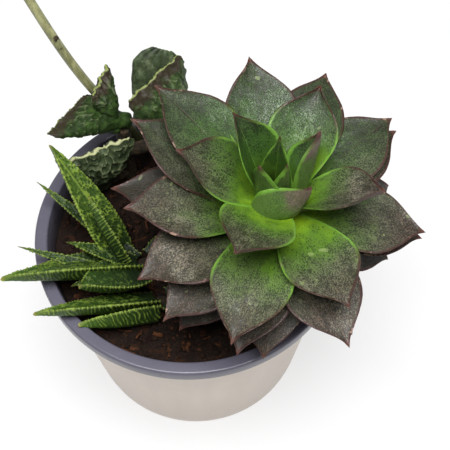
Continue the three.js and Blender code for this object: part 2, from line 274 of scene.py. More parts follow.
class Bench:
    """Adds nodes to one tree and hands back their outputs."""

    def __init__(self, tree):
        self.tree = tree

    def join(self, value, socket):
        """Joins an output to an input, or sets the input to a value."""
        if isinstance(value, bpy.types.NodeSocket):
            self.tree.links.new(value, socket)
        else:
            socket.default_value = value

    def add(self, kind, inputs=None, output=0, **settings):
        """Adds a node and hands back one of its outputs."""
        node = self.tree.nodes.new("ShaderNode" + kind)
        for name, value in settings.items():
            setattr(node, name, value)
        for name, value in (inputs or {}).items():
            self.join(value, node.inputs[name])
        return node.outputs[output]

    def group(self, tree, **inputs):
        """Places a node group. A socket's name has _ for a space."""
        node = self.tree.nodes.new("ShaderNodeGroup")
        node.node_tree = tree
        for name, value in inputs.items():
            self.join(value, node.inputs[name.replace("_", " ")])
        return node.outputs

    def math(self, operation, *values):
        return self.add("Math", dict(enumerate(values)), operation=operation)

    def times(self, value, *others):
        """Multiplies a value by all the others."""
        for other in others:
            value = self.math("MULTIPLY", value, other)
        return value

    def weigh(self, total, *terms):
        """Adds terms to a total, each as (value, weight)."""
        for value, weight in terms:
            total = self.math("MULTIPLY_ADD", value, weight, total)
        return total

    def fade(self, value, low, high):
        """0 below low, 1 above high, smooth between them. low above high turns it round."""
        inputs = {"Value": value, "From Min": low, "From Max": high}
        return self.add("MapRange", inputs, interpolation_type="SMOOTHSTEP")

    def noise(self, vector, scale, detail=2.0, roughness=0.5):
        inputs = {"Vector": vector, "Scale": scale, "Detail": detail, "Roughness": roughness}
        return self.add("TexNoise", inputs)

    def stretched(self, vector, scale):
        return self.add("Mapping", {"Vector": vector, "Scale": scale})

    def axis(self, vector, letter):
        return self.add("SeparateXYZ", {"Vector": vector}, output=letter)

    def attribute(self, name, output="Fac"):
        return self.add("Attribute", output=output, attribute_name=name)

    def object_place(self):
        return self.add("TexCoord", output="Object")

    def mix(self, factor, first, second, blend="MIX"):
        """Blends two colours, each an output or a painter's (red, green, blue)."""
        node = self.tree.nodes.new("ShaderNodeMix")
        node.data_type = "RGBA"
        node.blend_type = blend
        self.join(factor, node.inputs[0])
        for colour, socket in ((first, 6), (second, 7)):
            self.join(paint(*colour) if isinstance(colour, tuple) else colour, node.inputs[socket])
        return node.outputs[2]

    def over(self, colour, *coats):
        """Lays coats over a colour, one after the other, each as (mask, strength, colour)."""
        for mask, strength, coat in coats:
            colour = self.mix(self.times(mask, strength), colour, coat)
        return colour

    def ramp(self, value, *stops):
        """A colour ramp, with its stops as (place, painter's colour)."""
        node = self.tree.nodes.new("ShaderNodeValToRGB")
        self.join(value, node.inputs[0])
        marks = node.color_ramp.elements
        while len(marks) < len(stops):
            marks.new(0.5)
        for mark, (place, colour) in zip(marks, stops):
            mark.position = place
            mark.color = paint(*colour)
        return node.outputs[0]

    def bump(self, height, strength, depth, normal=None):
        """A normal from a height. A second bump takes the first one's normal."""
        inputs = {"Height": height, "Strength": strength, "Distance": depth}
        if normal is not None:
            inputs["Normal"] = normal
        return self.add("Bump", inputs)


def new_group(name, takes, gives):
    """Opens a node group: its inputs with their values, and its outputs with their kinds."""
    tree = bpy.data.node_groups.new(name, "ShaderNodeTree")
    for label, value in takes.items():
        kind = {3: "Vector", 4: "Color"}[len(value)] if isinstance(value, tuple) else "Float"
        socket = tree.interface.new_socket(label, in_out="INPUT", socket_type="NodeSocket" + kind)
        socket.default_value = value
    for label, kind in gives.items():
        tree.interface.new_socket(label, in_out="OUTPUT", socket_type="NodeSocket" + kind)
    print("group:", name)
    return Bench(tree), tree.nodes.new("NodeGroupInput").outputs, tree.nodes.new("NodeGroupOutput").inputs


def new_material(name):
    """A material with a bench for its nodes."""
    material = bpy.data.materials.new(name)
    material.use_nodes = True
    return material, Bench(material.node_tree)


def dress(material, **sockets):
    """Joins or sets sockets of the material's Principled shader, each named with _ for a space."""
    tree = material.node_tree
    for name, value in sockets.items():
        Bench(tree).join(value, tree.nodes["Principled BSDF"].inputs[name.replace("_", " ")])
    print("material:", material.name, "with", len(tree.nodes), "nodes")
    return material


# %% [markdown]
# ## Where a point lies on its leaf
#
# Nearly every mark on these leaves follows the leaf and not the room: paler at the base, darker to the
# tip, lined along the margin. So each leaf carries that knowledge in its mesh. The UV map says how far
# along and across the blade a point lies, `flat` keeps its place on the leaf before it was bent, in
# metres, `age` and `under` say how old the leaf is and whether the point is on its underside, and
# `relief` says how high a ridge stands there.

# %% Group: place on the leaf


def leaf_place_group():
    gives = dict.fromkeys(("Along", "Edge", "To Margin", "Age", "Under", "Relief"), "Float")
    bench, _, out = new_group("Leaf place", {}, {**gives, "Flat": "Vector"})
    uv = bench.add("UVMap", uv_map="UVMap")
    edge = bench.math("ABSOLUTE", bench.weigh(-1.0, (bench.axis(uv, "Y"), 2.0)))
    flat = bench.attribute("flat", "Vector")
    width = bench.math("ABSOLUTE", bench.axis(flat, "Y"))
    share = bench.math("SUBTRACT", bench.math("DIVIDE", 1.0, bench.math("MAXIMUM", edge, 0.05)), 1.0)
    made = {"Along": bench.axis(uv, "X"), "Edge": edge, "To Margin": bench.times(width, share), "Flat": flat}
    made |= {name.title(): bench.attribute(name) for name in ("age", "under", "relief")}
    for name, value in made.items():
        bench.join(value, out[name])
    return bench.tree


LEAF_PLACE = leaf_place_group()

# %% [markdown]
# ## Speckle
#
# Seen close, the rosette's green is a pale ground under thousands of dark flecks, each about a third of
# a millimetre, that crowd together towards the tip. Two noises of different grain are cut at a level:
# the higher the cover, the lower the level, and the more the flecks join.

# %% Group: speckle


def speckle_group():
    takes = {"Vector": (0, 0, 0), "Grain": 3000.0, "Cover": 0.5}
    bench, given, out = new_group("Speckle", takes, {"Mask": "Float"})
    fine = bench.noise(given["Vector"], given["Grain"], detail=3, roughness=0.66)
    broad = bench.noise(given["Vector"], bench.times(given["Grain"], 0.12))
    level = bench.weigh(0.65, (given["Cover"], -0.3))
    low, high = (bench.math("ADD", level, softness) for softness in (-0.045, 0.045))
    bench.join(bench.fade(bench.weigh(0.0, (fine, 0.78), (broad, 0.22)), low, high), out["Mask"])
    return bench.tree


SPECKLE = speckle_group()

# %% [markdown]
# ## The margin line
#
# A thin horny line runs round each leaf, and it is as wide on a small leaf as on a big one, so it is
# measured in metres from the margin. Where leaves rub, the line is worn pale in short stretches.

# %% Group: margin line


def margin_group():
    takes = {"Vector": (0, 0, 0), "To Margin": 0.0, "Width": 0.5 * MM, "Wear": 0.3}
    bench, given, out = new_group("Margin line", takes, {"Line": "Float", "Worn": "Float"})
    width = bench.times(given["Width"], bench.weigh(0.3, (bench.noise(given["Vector"], 420.0), 1.4)))
    line = bench.fade(given["To Margin"], bench.times(width, 1.35), bench.times(width, 0.65))
    patches = bench.noise(given["Vector"], 260.0, detail=3, roughness=0.6)
    level = bench.weigh(0.72, (given["Wear"], -0.35))
    worn = bench.fade(patches, level, bench.math("ADD", level, 0.05))
    bench.join(line, out["Line"])
    bench.join(bench.times(worn, line), out["Worn"])
    return bench.tree


MARGIN = margin_group()

# %% [markdown]
# ## Skin bumps
#
# A succulent's skin is waxy but not smooth: a fine pebble of cells, and a slow unevenness under it.
# The group adds both to whatever height a material gives it and hands back one normal.

# %% Group: skin


def skin_group():
    takes = {"Vector": (0, 0, 0), "Height": 0.0, "Pebble": 0.4}
    bench, given, out = new_group("Leaf skin", takes, {"Normal": "Vector"})
    pebble = bench.noise(given["Vector"], 3600.0, roughness=0.6)
    height = bench.weigh(given["Height"], (pebble, given["Pebble"]))
    uneven = bench.bump(bench.noise(given["Vector"], 320.0), 0.35, 0.6 * MM)
    bench.join(bench.bump(height, 0.7, 0.12 * MM, uneven), out["Normal"])
    return bench.tree


SKIN = skin_group()

# %% [markdown]
# ## The rosette leaf's finish
#
# From base to tip the ground goes from a lit yellow-green through grey-green to a brownish silver. Young
# leaves of the heart stay green, and old outer ones turn brown-grey nearly all over. Painted shade makes
# the leaves at the back and in the heart a deeper green, darkest at their bases, where little light falls;
# in the heart the deeper green is partly the young leaves' own. A painted sheen lies in pale broken patches
# on the outer halves of grown leaves in front. Over the ground come the dark flecks, which thicken to the
# tip, a few pale spots, dark streaks and a crease. The outside of a leaf is green and flushes mauve
# towards its tip. The rim is lime at the base and maroon towards the tip.

# %% Material: rosette leaf


def rosette_material():
    material, bench = new_material("rosette leaf")
    place = bench.group(LEAF_PLACE)
    along, age, flat, under = place["Along"], place["Age"], place["Flat"], place["Under"]
    drift = bench.noise(flat, 130.0)
    # Painted shade: shaded rises towards the back of the rosette, and there the leaves are darkened, kept
    # greener and kept free of the painted sheen.
    shaded = bench.fade(bench.axis(bench.object_place(), "Y"), -14 * MM, 12 * MM)
    # The heart's deeper green is partly the young leaves' own colour and partly painted shade.
    heart = bench.fade(age, 0.2, 0.1)
    young = bench.fade(age, 0.45, 0.2)
    ripeness = bench.weigh(-0.4, (along, 1.0), (drift, 0.4), (age, 0.55), (shaded, -0.12))
    # Painted shade at the bases of the leaves at the back and in the heart.
    painted_base_shade = bench.times(bench.math("MAXIMUM", shaded, heart), bench.fade(along, 0.6, 0.2))
    # A painted sheen: pale broken patches on the outer halves of grown leaves in front, weaker on the oldest.
    painted_sheen = bench.times(
        bench.fade(bench.noise(flat, 95.0, detail=3, roughness=0.6), 0.5, 0.64), bench.fade(along, 0.45, 0.75),
        bench.fade(age, 0.12, 0.56), bench.weigh(1.0, (shaded, -1.0)),
        bench.weigh(1.0, (bench.fade(age, 0.72, 0.82), -0.6)))
    ground = bench.ramp(
        ripeness, (0.05, (166, 202, 40)), (0.22, (124, 164, 38)), (0.37, (90, 126, 40)),
        (0.52, (94, 118, 60)), (0.70, (106, 108, 82)), (0.95, (98, 84, 72)))
    # Of these coats the back and base ones are painted shade, the heart one partly painted shade, the brown one
    # is the colour of old leaves, and the pale last one is the painted sheen.
    ground = bench.over(
        ground,
        (heart, 0.75, (58, 92, 38)),
        (shaded, 0.7, (42, 74, 28)),
        (painted_base_shade, 0.8, (26, 48, 12)),
        (bench.fade(age, 0.68, 0.85), 1.0, (60, 52, 42)),
        (painted_sheen, 0.55, (160, 152, 134)))

    cover = bench.weigh(0.08, (bench.fade(ripeness, 0.1, 0.7), 0.5), (under, 0.2))
    long_grain = bench.stretched(flat, (1.0, 1.0, 0.7))
    flecks = bench.group(SPECKLE, Vector=long_grain, Grain=2800.0, Cover=cover)["Mask"]
    dark = bench.mix(bench.fade(ripeness, 0.2, 0.8), (26, 50, 14), (30, 31, 20))
    flush = bench.fade(bench.weigh(-0.4, (along, 1.0), (age, 3.5), (drift, 0.8)), 0.85, 1.15)
    outside = bench.mix(young, (112, 102, 94), bench.mix(flush, (90, 118, 56), (128, 108, 96)))
    outside = bench.over(outside, (flecks, 0.5, bench.mix(young, (62, 54, 48), dark)))

    spots = bench.times(bench.fade(bench.noise(flat, 400.0, detail=0), 0.79, 0.83), bench.fade(age, 0.15, 0.3))
    streaks = bench.noise(bench.stretched(flat, (1.0, 1.0, 0.12)), 1100.0, detail=3, roughness=0.6)
    streaks = bench.times(bench.fade(streaks, 0.52, 0.66), bench.fade(ripeness, 0.45, 0.95))
    crease = bench.times(bench.fade(place["Edge"], 0.04, 0.01), bench.fade(along, 0.5, 0.8),
                         bench.fade(bench.noise(flat, 90.0), 0.45, 0.6))
    margin = bench.group(MARGIN, To_Margin=place["To Margin"], Vector=flat, Width=0.8 * MM, Wear=0.3)
    rim = bench.mix(bench.fade(bench.weigh(along, (age, 0.9)), 0.8, 1.0), (112, 160, 56), (66, 36, 32))
    colour = bench.over(
        ground,
        (flecks, 0.85, dark),
        (under, 0.9, outside),
        (spots, 0.35, (170, 186, 124)),
        (streaks, 0.5, (36, 30, 26)),
        (crease, 0.5, (56, 44, 38)),
        (margin["Line"], 0.85, rim),
        (bench.times(margin["Worn"], bench.fade(age, 0.15, 0.5)), 0.7, (180, 146, 128)),
        (bench.fade(along, 0.93, 0.985), 0.8, (98, 60, 50)))
    height = bench.weigh(0.0, (flecks, -0.6), (crease, -2.0))
    return dress(
        material, Base_Color=colour, Roughness=bench.weigh(0.28, (flecks, 0.1)),
        Normal=bench.group(SKIN, Vector=flat, Height=height, Pebble=0.5)["Normal"],
        Specular_IOR_Level=0.42, Subsurface_Weight=0.05, Subsurface_Radius=(0.6, 1.0, 0.25),
        Subsurface_Scale=2 * MM)


ROSETTE_LEAF = rosette_material()

# %% [markdown]
# ## The crinkle leaf's finish
#
# The body is deep green with paler lumps, the last stretch under the crest is purple-brown, and the crest
# itself is a cream-green line. Older leaves wear a grey bloom. Age carries the bloom here.

# %% Material: crinkle leaf


def crinkle_material():
    material, bench = new_material("crinkle leaf")
    place = bench.group(LEAF_PLACE)
    along, age, flat = place["Along"], place["Age"], place["Flat"]
    mottle = bench.noise(flat, 420.0, detail=3, roughness=0.6)
    green = bench.ramp(mottle, (0.30, (22, 38, 10)), (0.52, (36, 60, 16)), (0.72, (64, 92, 34)))
    grey = bench.ramp(mottle, (0.30, (36, 46, 28)), (0.52, (58, 70, 44)), (0.72, (98, 110, 80)))
    curls = bench.times(bench.fade(place["Relief"], 0.4, 1.0), bench.weigh(0.3, (age, 0.5)))
    ragged = bench.weigh(-0.15, (along, 1.0), (bench.noise(flat, 350.0, detail=3), 0.3))
    dusk = bench.times(bench.fade(ragged, 0.8, 0.9), bench.fade(age, 1.0, 0.2))
    flecks = bench.group(SPECKLE, Vector=flat, Grain=2200.0, Cover=0.35)["Mask"]
    crest = bench.times(bench.fade(along, 0.98, 0.995), bench.fade(age, 1.0, 0.93))
    colour = bench.over(
        bench.mix(age, green, grey),
        (curls, 1.0, (146, 156, 116)),
        (dusk, 0.85, (52, 37, 29)),
        (flecks, 0.4, (44, 52, 32)),
        (crest, 1.0, bench.mix(age, (118, 132, 62), (182, 184, 140))))
    return dress(
        material, Base_Color=colour, Roughness=bench.weigh(0.5, (flecks, 0.15)),
        Normal=bench.group(SKIN, Vector=flat, Height=mottle, Pebble=0.5)["Normal"],
        Specular_IOR_Level=0.3, Subsurface_Weight=0.1, Subsurface_Radius=(0.6, 1.0, 0.25),
        Subsurface_Scale=2 * MM)


CRINKLE_LEAF = crinkle_material()

# %% [markdown]
# ## The ridged leaf's finish
#
# Fresh green, yellower to the tip, with every raised ridge and tooth a pale yellow-green. The height of
# the relief is stored in the mesh, so the pale colour sits exactly on the ridges. Age carries the depth
# of the green here.

# %% Material: ridged leaf


def ridged_material():
    material, bench = new_material("ridged leaf")
    place = bench.group(LEAF_PLACE)
    along, age, flat = place["Along"], place["Age"], place["Flat"]
    reach = bench.weigh(-0.2, (along, 1.0), (bench.noise(flat, 200.0), 0.4))
    bright = bench.ramp(reach, (0.0, (30, 46, 14)), (0.4, (46, 70, 20)), (1.0, (74, 104, 30)))
    deep = bench.ramp(reach, (0.0, (16, 28, 10)), (0.5, (28, 50, 15)), (1.0, (52, 80, 24)))
    mottle = bench.noise(flat, 900.0, detail=3, roughness=0.6)
    raised = bench.times(bench.fade(place["Relief"], 0.35, 1.0), bench.weigh(1.0, (age, -0.5)))
    margin = bench.group(MARGIN, To_Margin=place["To Margin"], Vector=flat, Width=0.25 * MM, Wear=0.0)
    colour = bench.over(
        bench.mix(age, bright, deep),
        (bench.fade(mottle, 0.65, 0.35), 0.45, (30, 52, 20)),
        (raised, 1.0, bench.mix(age, (120, 144, 54), (112, 134, 56))),
        (margin["Line"], 0.3, (150, 168, 70)),
        (bench.fade(along, 0.965, 1.0), 1.0, (160, 150, 78)))
    return dress(
        material, Base_Color=colour, Roughness=bench.weigh(0.32, (mottle, 0.3)),
        Normal=bench.group(SKIN, Vector=flat, Height=mottle, Pebble=0.3)["Normal"],
        Specular_IOR_Level=0.4, Subsurface_Weight=0.15, Subsurface_Radius=(0.6, 1.0, 0.2),
        Subsurface_Scale=2 * MM)


RIDGED_LEAF = ridged_material()

# %% [markdown]
# ## Stalk and bark
#
# The flower stalk is smooth, straw-green and finely speckled, and dark green at its foot, where the
# darkening is partly painted shade. The short stems are corky brown. Both patterns read Object
# coordinates, which never slide on these fixed pieces.

# %% Materials: stalk and bark


def stalk_material():
    material, bench = new_material("flower stalk")
    where = bench.object_place()
    grain = bench.noise(bench.stretched(where, (1.0, 1.0, 0.25)), 500.0, detail=3)
    flecks = bench.group(SPECKLE, Vector=where, Grain=2600.0, Cover=0.25)["Mask"]
    # Partly painted shade, partly a greener foot: the stalk darkens to dark green below 110 mm.
    foot = bench.fade(bench.axis(where, "Z"), 110 * MM, 90 * MM)
    colour = bench.over(
        bench.mix(bench.fade(grain, 0.35, 0.65), (128, 130, 88), (168, 168, 120)),
        (flecks, 0.5, (104, 88, 62)),
        (foot, 0.8, (46, 50, 24)))
    return dress(
        material, Base_Color=colour, Roughness=bench.weigh(0.35, (grain, 0.2)),
        Normal=bench.group(SKIN, Vector=where, Height=grain, Pebble=0.3)["Normal"])


def bark_material():
    material, bench = new_material("stem bark")
    cork = bench.noise(bench.object_place(), 700.0, detail=5, roughness=0.65)
    colour = bench.ramp(cork, (0.30, (22, 17, 10)), (0.50, (48, 38, 24)), (0.72, (92, 74, 48)))
    return dress(material, Base_Color=colour, Roughness=0.85, Normal=bench.bump(cork, 0.8, 0.5 * MM))


STALK = stalk_material()
BARK = bark_material()

# %% [markdown]
# ## Plastic
#
# The pot is thin injection-moulded plastic: satin, with faint flow streaks down the wall, a fine orange
# peel, and scuffs. The wall outside is a warm off-white, a little darker and marked near the foot. The
# lip and the inside are a cool grey. The inside is darkened by painted shade from the lip down to the
# soil, and carries dust from the soil.

# %% Group and materials: plastic


def plastic_group():
    takes = {"Vector": (0, 0, 0), "Ground": (0.5, 0.5, 0.5, 1), "Scuff": (0.8, 0.8, 0.8, 1), "Gloss": 0.35}
    gives = {"Colour": "Color", "Roughness": "Float", "Normal": "Vector"}
    bench, given, out = new_group("Moulded plastic", takes, gives)
    where = given["Vector"]
    flow = bench.noise(bench.stretched(where, (1.0, 1.0, 0.08)), 160.0, detail=3)
    cloud = bench.noise(where, 45.0, detail=3)
    scratches = bench.noise(bench.stretched(where, (1.0, 1.0, 3.5)), 420.0, detail=5, roughness=0.7)
    peel = bench.noise(where, 1400.0, detail=1)
    shade = bench.weigh(0.85, (cloud, 0.14), (flow, 0.16))
    colour = bench.mix(1.0, given["Ground"], shade, "MULTIPLY")
    colour = bench.over(colour, (bench.fade(scratches, 0.62, 0.72), 0.3, given["Scuff"]))
    bench.join(colour, out["Colour"])
    bench.join(bench.weigh(-0.09, (given["Gloss"], 1.0), (scratches, 0.18)), out["Roughness"])
    wave = bench.bump(cloud, 0.25, 0.6 * MM)
    bench.join(bench.bump(peel, 0.12, 0.08 * MM, wave), out["Normal"])
    return bench.tree


def foot_grime(bench, where, height):
    """The coats on the outside: a darker foot with dirty marks on it."""
    marks = bench.noise(where, 60.0, detail=4, roughness=0.7)
    grime = bench.times(bench.fade(marks, 0.58, 0.75), bench.fade(height, 25 * MM, 0.0))
    return (bench.fade(height, 50 * MM, 0.0), 0.45, (190, 177, 165)), (grime, 0.35, (150, 132, 112))


def inner_shade_and_dust(bench, where, height):
    """The coats on the inside: shade and dust that thicken from the lip down to the soil."""
    depth = bench.fade(height, POT_HEIGHT - MM, SOIL_LEVEL)
    dust = bench.fade(bench.noise(where, 300.0, detail=5, roughness=0.7), 0.52, 0.66)
    # The first coat is painted shade, deepening down the inside wall; the second is dust from the soil.
    return (depth, 0.75, (52, 46, 50)), (bench.times(dust, depth), 0.8, (44, 30, 22))


def pot_material(name, ground, scuff, gloss, coats):
    material, bench = new_material(name)
    where = bench.object_place()
    made = bench.group(PLASTIC, Vector=where, Ground=paint(*ground), Scuff=paint(*scuff), Gloss=gloss)
    colour = bench.over(made["Colour"], *coats(bench, where, bench.axis(where, "Z")))
    return dress(material, Base_Color=colour, Roughness=made["Roughness"], Normal=made["Normal"])


PLASTIC = plastic_group()
POT_OUTSIDE = pot_material("pot outside", (212, 199, 186), (230, 221, 212), 0.42, foot_grime)
POT_LIP = pot_material("pot lip", (93, 91, 104), (140, 138, 154), 0.3, inner_shade_and_dust)

# %% [markdown]
# ## Potting mix
#
# Damp peat is nearly black, with fibres and chips of bark that dry to orange-brown. Each crumb carries
# its own `tint`, from 0 for peat to 1 for dry bark, so one material serves the bed and all its crumbs.

# %% Material: potting mix


def soil_material():
    material, bench = new_material("potting mix")
    where = bench.object_place()
    fine = bench.noise(where, 1500.0, detail=5, roughness=0.7)
    broad = bench.noise(where, 240.0, detail=3)
    lit = bench.fade(fine, 0.35, 0.7)
    peat = bench.mix(lit, (14, 8, 5), (42, 26, 17))
    peat = bench.mix(bench.fade(broad, 0.55, 0.75), peat, (54, 31, 18))
    bark = bench.mix(lit, (54, 31, 18), (112, 68, 38))
    return dress(
        material, Base_Color=bench.mix(bench.attribute("tint"), peat, bark),
        Roughness=bench.weigh(0.62, (broad, 0.3)), Specular_IOR_Level=0.2,
        Normal=bench.bump(fine, 0.9, 0.6 * MM))


SOIL = soil_material()

# %% [markdown]
# ## The pot
#
# A thrown pot and a moulded one have the same geometry: a profile turned round an axis. Here the profile
# is walked ring by ring. A circle is added at the foot, and each next ring is extruded from the last one
# and scaled to its radius: up the outside, under and round the lip, and down the inside to the floor. The
# drain holes are cut with Boolean modifiers, one cylinder for each.

# %% Pot
DRAIN_HOLES = 6
DRAIN_CIRCLE = 25 * MM
DRAIN_RADIUS = 3.2 * MM


def arc(radius, height, size, start, end, steps=4):
    """Points of a round corner of the profile, as (radius, height), angles in degrees."""
    turns = [math.radians(start + (end - start) * i / steps) for i in range(steps + 1)]
    return [(radius + size * math.cos(a), height + size * math.sin(a)) for a in turns]


def turned(name, profile, sides):
    """A round piece: the profile's rings are extruded one from the other, and both ends are closed."""
    radius, height = profile[0]
    piece = started(name, bpy.ops.mesh.primitive_circle_add, vertices=sides, radius=radius,
                    fill_type="NGON", location=(0, 0, height))
    edit(piece, "SELECT")
    for next_radius, next_height in profile[1:]:
        bpy.ops.mesh.extrude_region_move(TRANSFORM_OT_translate={"value": (0, 0, next_height - height)})
        if next_radius != radius:
            share = next_radius / radius
            bpy.ops.transform.resize(value=(share, share, 1), center_override=(0, 0, next_height))
        radius, height = next_radius, next_height
    leave(outwards=True)
    return piece


def pot_profile():
    top = POT_HEIGHT
    round_foot, round_lip = 2.2 * MM, 0.9 * MM
    inner_floor = wall_radius(FLOOR) - WALL
    outside = arc(BASE_RADIUS - round_foot, round_foot, round_foot, -90, -10)
    outside += [(wall_radius(z * MM), z * MM) for z in (6, 20, 34, 48, 60, 68)]
    under_lip = [(wall_radius(top - 2.2 * MM), top - 2.2 * MM), (wall_radius(top) + 0.6 * MM, top - 1.3 * MM)]
    under_lip += [(LIP_RADIUS - 2 * MM, top - 1.25 * MM), (LIP_RADIUS - 1.2 * MM, top - 1.9 * MM)]
    skirt = [(LIP_RADIUS - 1.0 * MM, top - 4.3 * MM)]
    skirt += arc(LIP_RADIUS - 0.5 * MM, top - 4.2 * MM, 0.4 * MM, -110, 0)
    lip = arc(LIP_RADIUS - round_lip, top - round_lip, round_lip, 0, 90, steps=5)
    lip += [(LIP_RADIUS - 2.4 * MM, top - 0.12 * MM)]
    lip += arc(WALL_TOP_RADIUS + 0.8 * MM, top - 0.8 * MM, 0.8 * MM, 90, 175)
    inside = [(wall_radius(z * MM) - WALL, z * MM) for z in (70, 62, 50, 34, 18, 4)]
    floor = [(inner_floor - 1.4 * MM, FLOOR), (0.5 * inner_floor, FLOOR)]
    return outside + under_lip + skirt + lip + inside + floor


def make_pot():
    pot = turned("pot_shell", pot_profile(), 128)
    for i in range(DRAIN_HOLES):
        turn = 2 * math.pi * i / DRAIN_HOLES
        cutter = started(
            "cutter", bpy.ops.mesh.primitive_cylinder_add, vertices=32, radius=DRAIN_RADIUS, depth=3 * FLOOR,
            location=(DRAIN_CIRCLE * math.cos(turn), DRAIN_CIRCLE * math.sin(turn), FLOOR / 2))
        press(pot, "BOOLEAN", operation="DIFFERENCE", solver="EXACT", object=cutter)
        discard(cutter)
    hand_over(pot, "pot", "pot_plastic", POT_OUTSIDE, POT_LIP)
    lip_low = POT_HEIGHT - LIP_DROP - 0.2 * MM
    for face in pot.data.polygons:
        height, reach = face.center.z, face.center.xy.length
        inside = reach < wall_radius(height) - 0.5 * WALL and height > 0.9 * FLOOR
        on_lip = height > lip_low and reach > wall_radius(height) + 0.2 * MM
        face.material_index = int(inside or on_lip or height > POT_HEIGHT - MM)
    take(pot)
    bpy.ops.object.shade_smooth_by_angle(angle=math.radians(35))
    return pot


pot = make_pot()
print("pot:", len(pot.data.polygons), "faces")

# %% [markdown]
# ## The bed of soil
#
# The bed is one body that fills the pot. Its top is a disc cut into fine rings by insetting. It takes the
# slow lumps of the frame's soil first, calmer near the wall, and two Displace modifiers then heave it on
# a finer scale.

# %% Soil bed
BED_RINGS = 44
BED_RING_WIDTH = 1.02 * MM


def soil_lump(x, y):
    """How far the bed's top stands above its level: the same slow lumps as in the frame."""
    x, y = x / MM, y / MM
    lumps = math.sin(0.31 * x + 1.3) * math.cos(0.27 * y) + 0.6 * math.sin(0.63 * x - 0.49 * y)
    return 1.1 * MM * lumps


def make_soil():
    edge = SOIL_RADIUS - 0.3 * MM
    foot = wall_radius(FLOOR) - WALL - 1.5 * MM
    bed = turned("soil_bed", [(foot, FLOOR + FIT_GAP), (edge, SOIL_LEVEL)], 128)
    edit(bed)
    pick(bed, lambda face: face.calc_center_median().z > SOIL_LEVEL - MM and face.normal.z > 0.9, "faces")
    for _ in range(BED_RINGS):
        bpy.ops.mesh.inset(thickness=BED_RING_WIDTH)
    leave()
    heave = bed.vertex_groups.new(name="top")
    for vert in bed.data.vertices:
        if vert.co.z > SOIL_LEVEL - MM:
            calm = min(1.0, (edge - vert.co.xy.length) / (6 * MM))
            vert.co.z = SOIL_LEVEL + soil_lump(vert.co.x, vert.co.y) * calm
            heave.add([vert.index], 0.35 + 0.65 * calm, "REPLACE")
    press(bed, "SUBSURF", levels=1, render_levels=1, subdivision_type="SIMPLE")
    lumpy = {"vertex_group": "top", "direction": "Z", "mid_level": 0.5}
    press(bed, "DISPLACE", texture=clouds("soil lumps", 5 * MM), strength=2.4 * MM, **lumpy)
    press(bed, "DISPLACE", texture=clouds("soil crumbs", 1.3 * MM, 3), strength=1.6 * MM, **lumpy)
    write_attribute(bed, "tint", np.zeros(len(bed.data.vertices), np.float32))
    return hand_over(bed, "soil", "potting_soil", SOIL)


soil_bed = make_soil()
print("soil bed:", len(soil_bed.data.polygons), "faces")

# %% [markdown]
# ## Crumbs of soil
#
# Loose clods, chips of bark and fibres lie on the bed. Each kind is modelled once, about one unit across,
# and copied. Every copy has its own size, turn and tint, is dropped onto the bed where it lies, and slides
# inward if it would reach into the pot's wall.

# %% Soil crumbs

# kind, how many, the least and most of their size in mm, and of their tint
CRUMBS = [
    ("clod", 900, (0.7, 2.2), (0.0, 0.2)),
    ("clod", 70, (0.5, 1.5), (0.5, 1.0)),
    ("chip", 110, (1.4, 3.6), (0.35, 1.0)),
    ("fibre", 80, (3.0, 8.0), (0.3, 1.0)),
]


def crumb_blank(kind):
    if kind == "clod":
        blank = started("clod_blank", bpy.ops.mesh.primitive_ico_sphere_add, subdivisions=2, radius=0.5)
        press(blank, "DISPLACE", texture=clouds("clod", 0.25, 3), strength=0.9, mid_level=0.5)
    elif kind == "chip":
        blank = started("chip_blank", bpy.ops.mesh.primitive_cube_add, size=1, scale=(1, 0.55, 0.2))
        press(blank, "BEVEL", width=0.07, segments=1)
        press(blank, "DISPLACE", texture=clouds("chip", 0.4), strength=0.25, mid_level=0.5)
    else:
        blank = started("fibre_blank", bpy.ops.mesh.primitive_cylinder_add, vertices=5, radius=0.05, depth=1,
                        rotation=(0, math.pi / 2, 0))
        edit(blank, "SELECT")
        bpy.ops.mesh.subdivide(number_cuts=3)
        leave()
        press(blank, "DISPLACE", texture=clouds("fibre", 0.3), strength=0.12, mid_level=0.5)
    return blank


def scatter(bed, rng, kind, count, sizes, tints):
    """Copies of one crumb. Chips and fibres lie flatter than clods."""
    blank = crumb_blank(kind)
    crumbs = []
    limit = SOIL_RADIUS - 1.5 * MM
    lying = 1.0 if kind == "clod" else 0.35
    for i in range(count):
        reach, turn = limit * math.sqrt(rng.random()), rng.uniform(0, 2 * math.pi)
        outward = Vector((math.cos(turn), math.sin(turn), 0))
        place = bed.ray_cast(reach * outward + Vector((0, 0, POT_HEIGHT)), (0, 0, -1))[0]
        size = rng.uniform(*sizes) * MM
        angles = (rng.uniform(-3, 3) * lying, rng.uniform(-1, 1) * lying, rng.uniform(-3.1, 3.1))
        crumb = copy_of(blank, f"{kind}_{i}")
        crumb.data.transform(
            Matrix.Translation(place) @ Matrix.Rotation(angles[2], 4, "Z") @ Matrix.Rotation(angles[1], 4, "Y")
            @ Matrix.Rotation(angles[0], 4, "X") @ Matrix.Scale(size, 4))
        spill = max(vert.co.xy.length for vert in crumb.data.vertices) - limit - 1 * MM
        if spill > 0:
            crumb.data.transform(Matrix.Translation(-spill * outward))
        write_attribute(crumb, "tint", np.full(len(crumb.data.vertices), rng.uniform(*tints), np.float32))
        crumbs.append(crumb)
    discard(blank)
    return crumbs


def make_crumbs():
    rng = random.Random(11)
    bed = BVHTree.FromPolygons(
        [vert.co for vert in soil_bed.data.vertices], [face.vertices for face in soil_bed.data.polygons])
    crumbs = [crumb for row in CRUMBS for crumb in scatter(bed, rng, *row)]
    take(crumbs[0])
    for crumb in crumbs:
        crumb.select_set(True)
    bpy.ops.object.join()
    crumbs[0].name = "soil_crumbs"
    return hand_over(crumbs[0], "soil", "potting_soil", SOIL)


soil_crumbs = make_crumbs()
print("crumbs:", len(soil_crumbs.data.polygons), "faces")

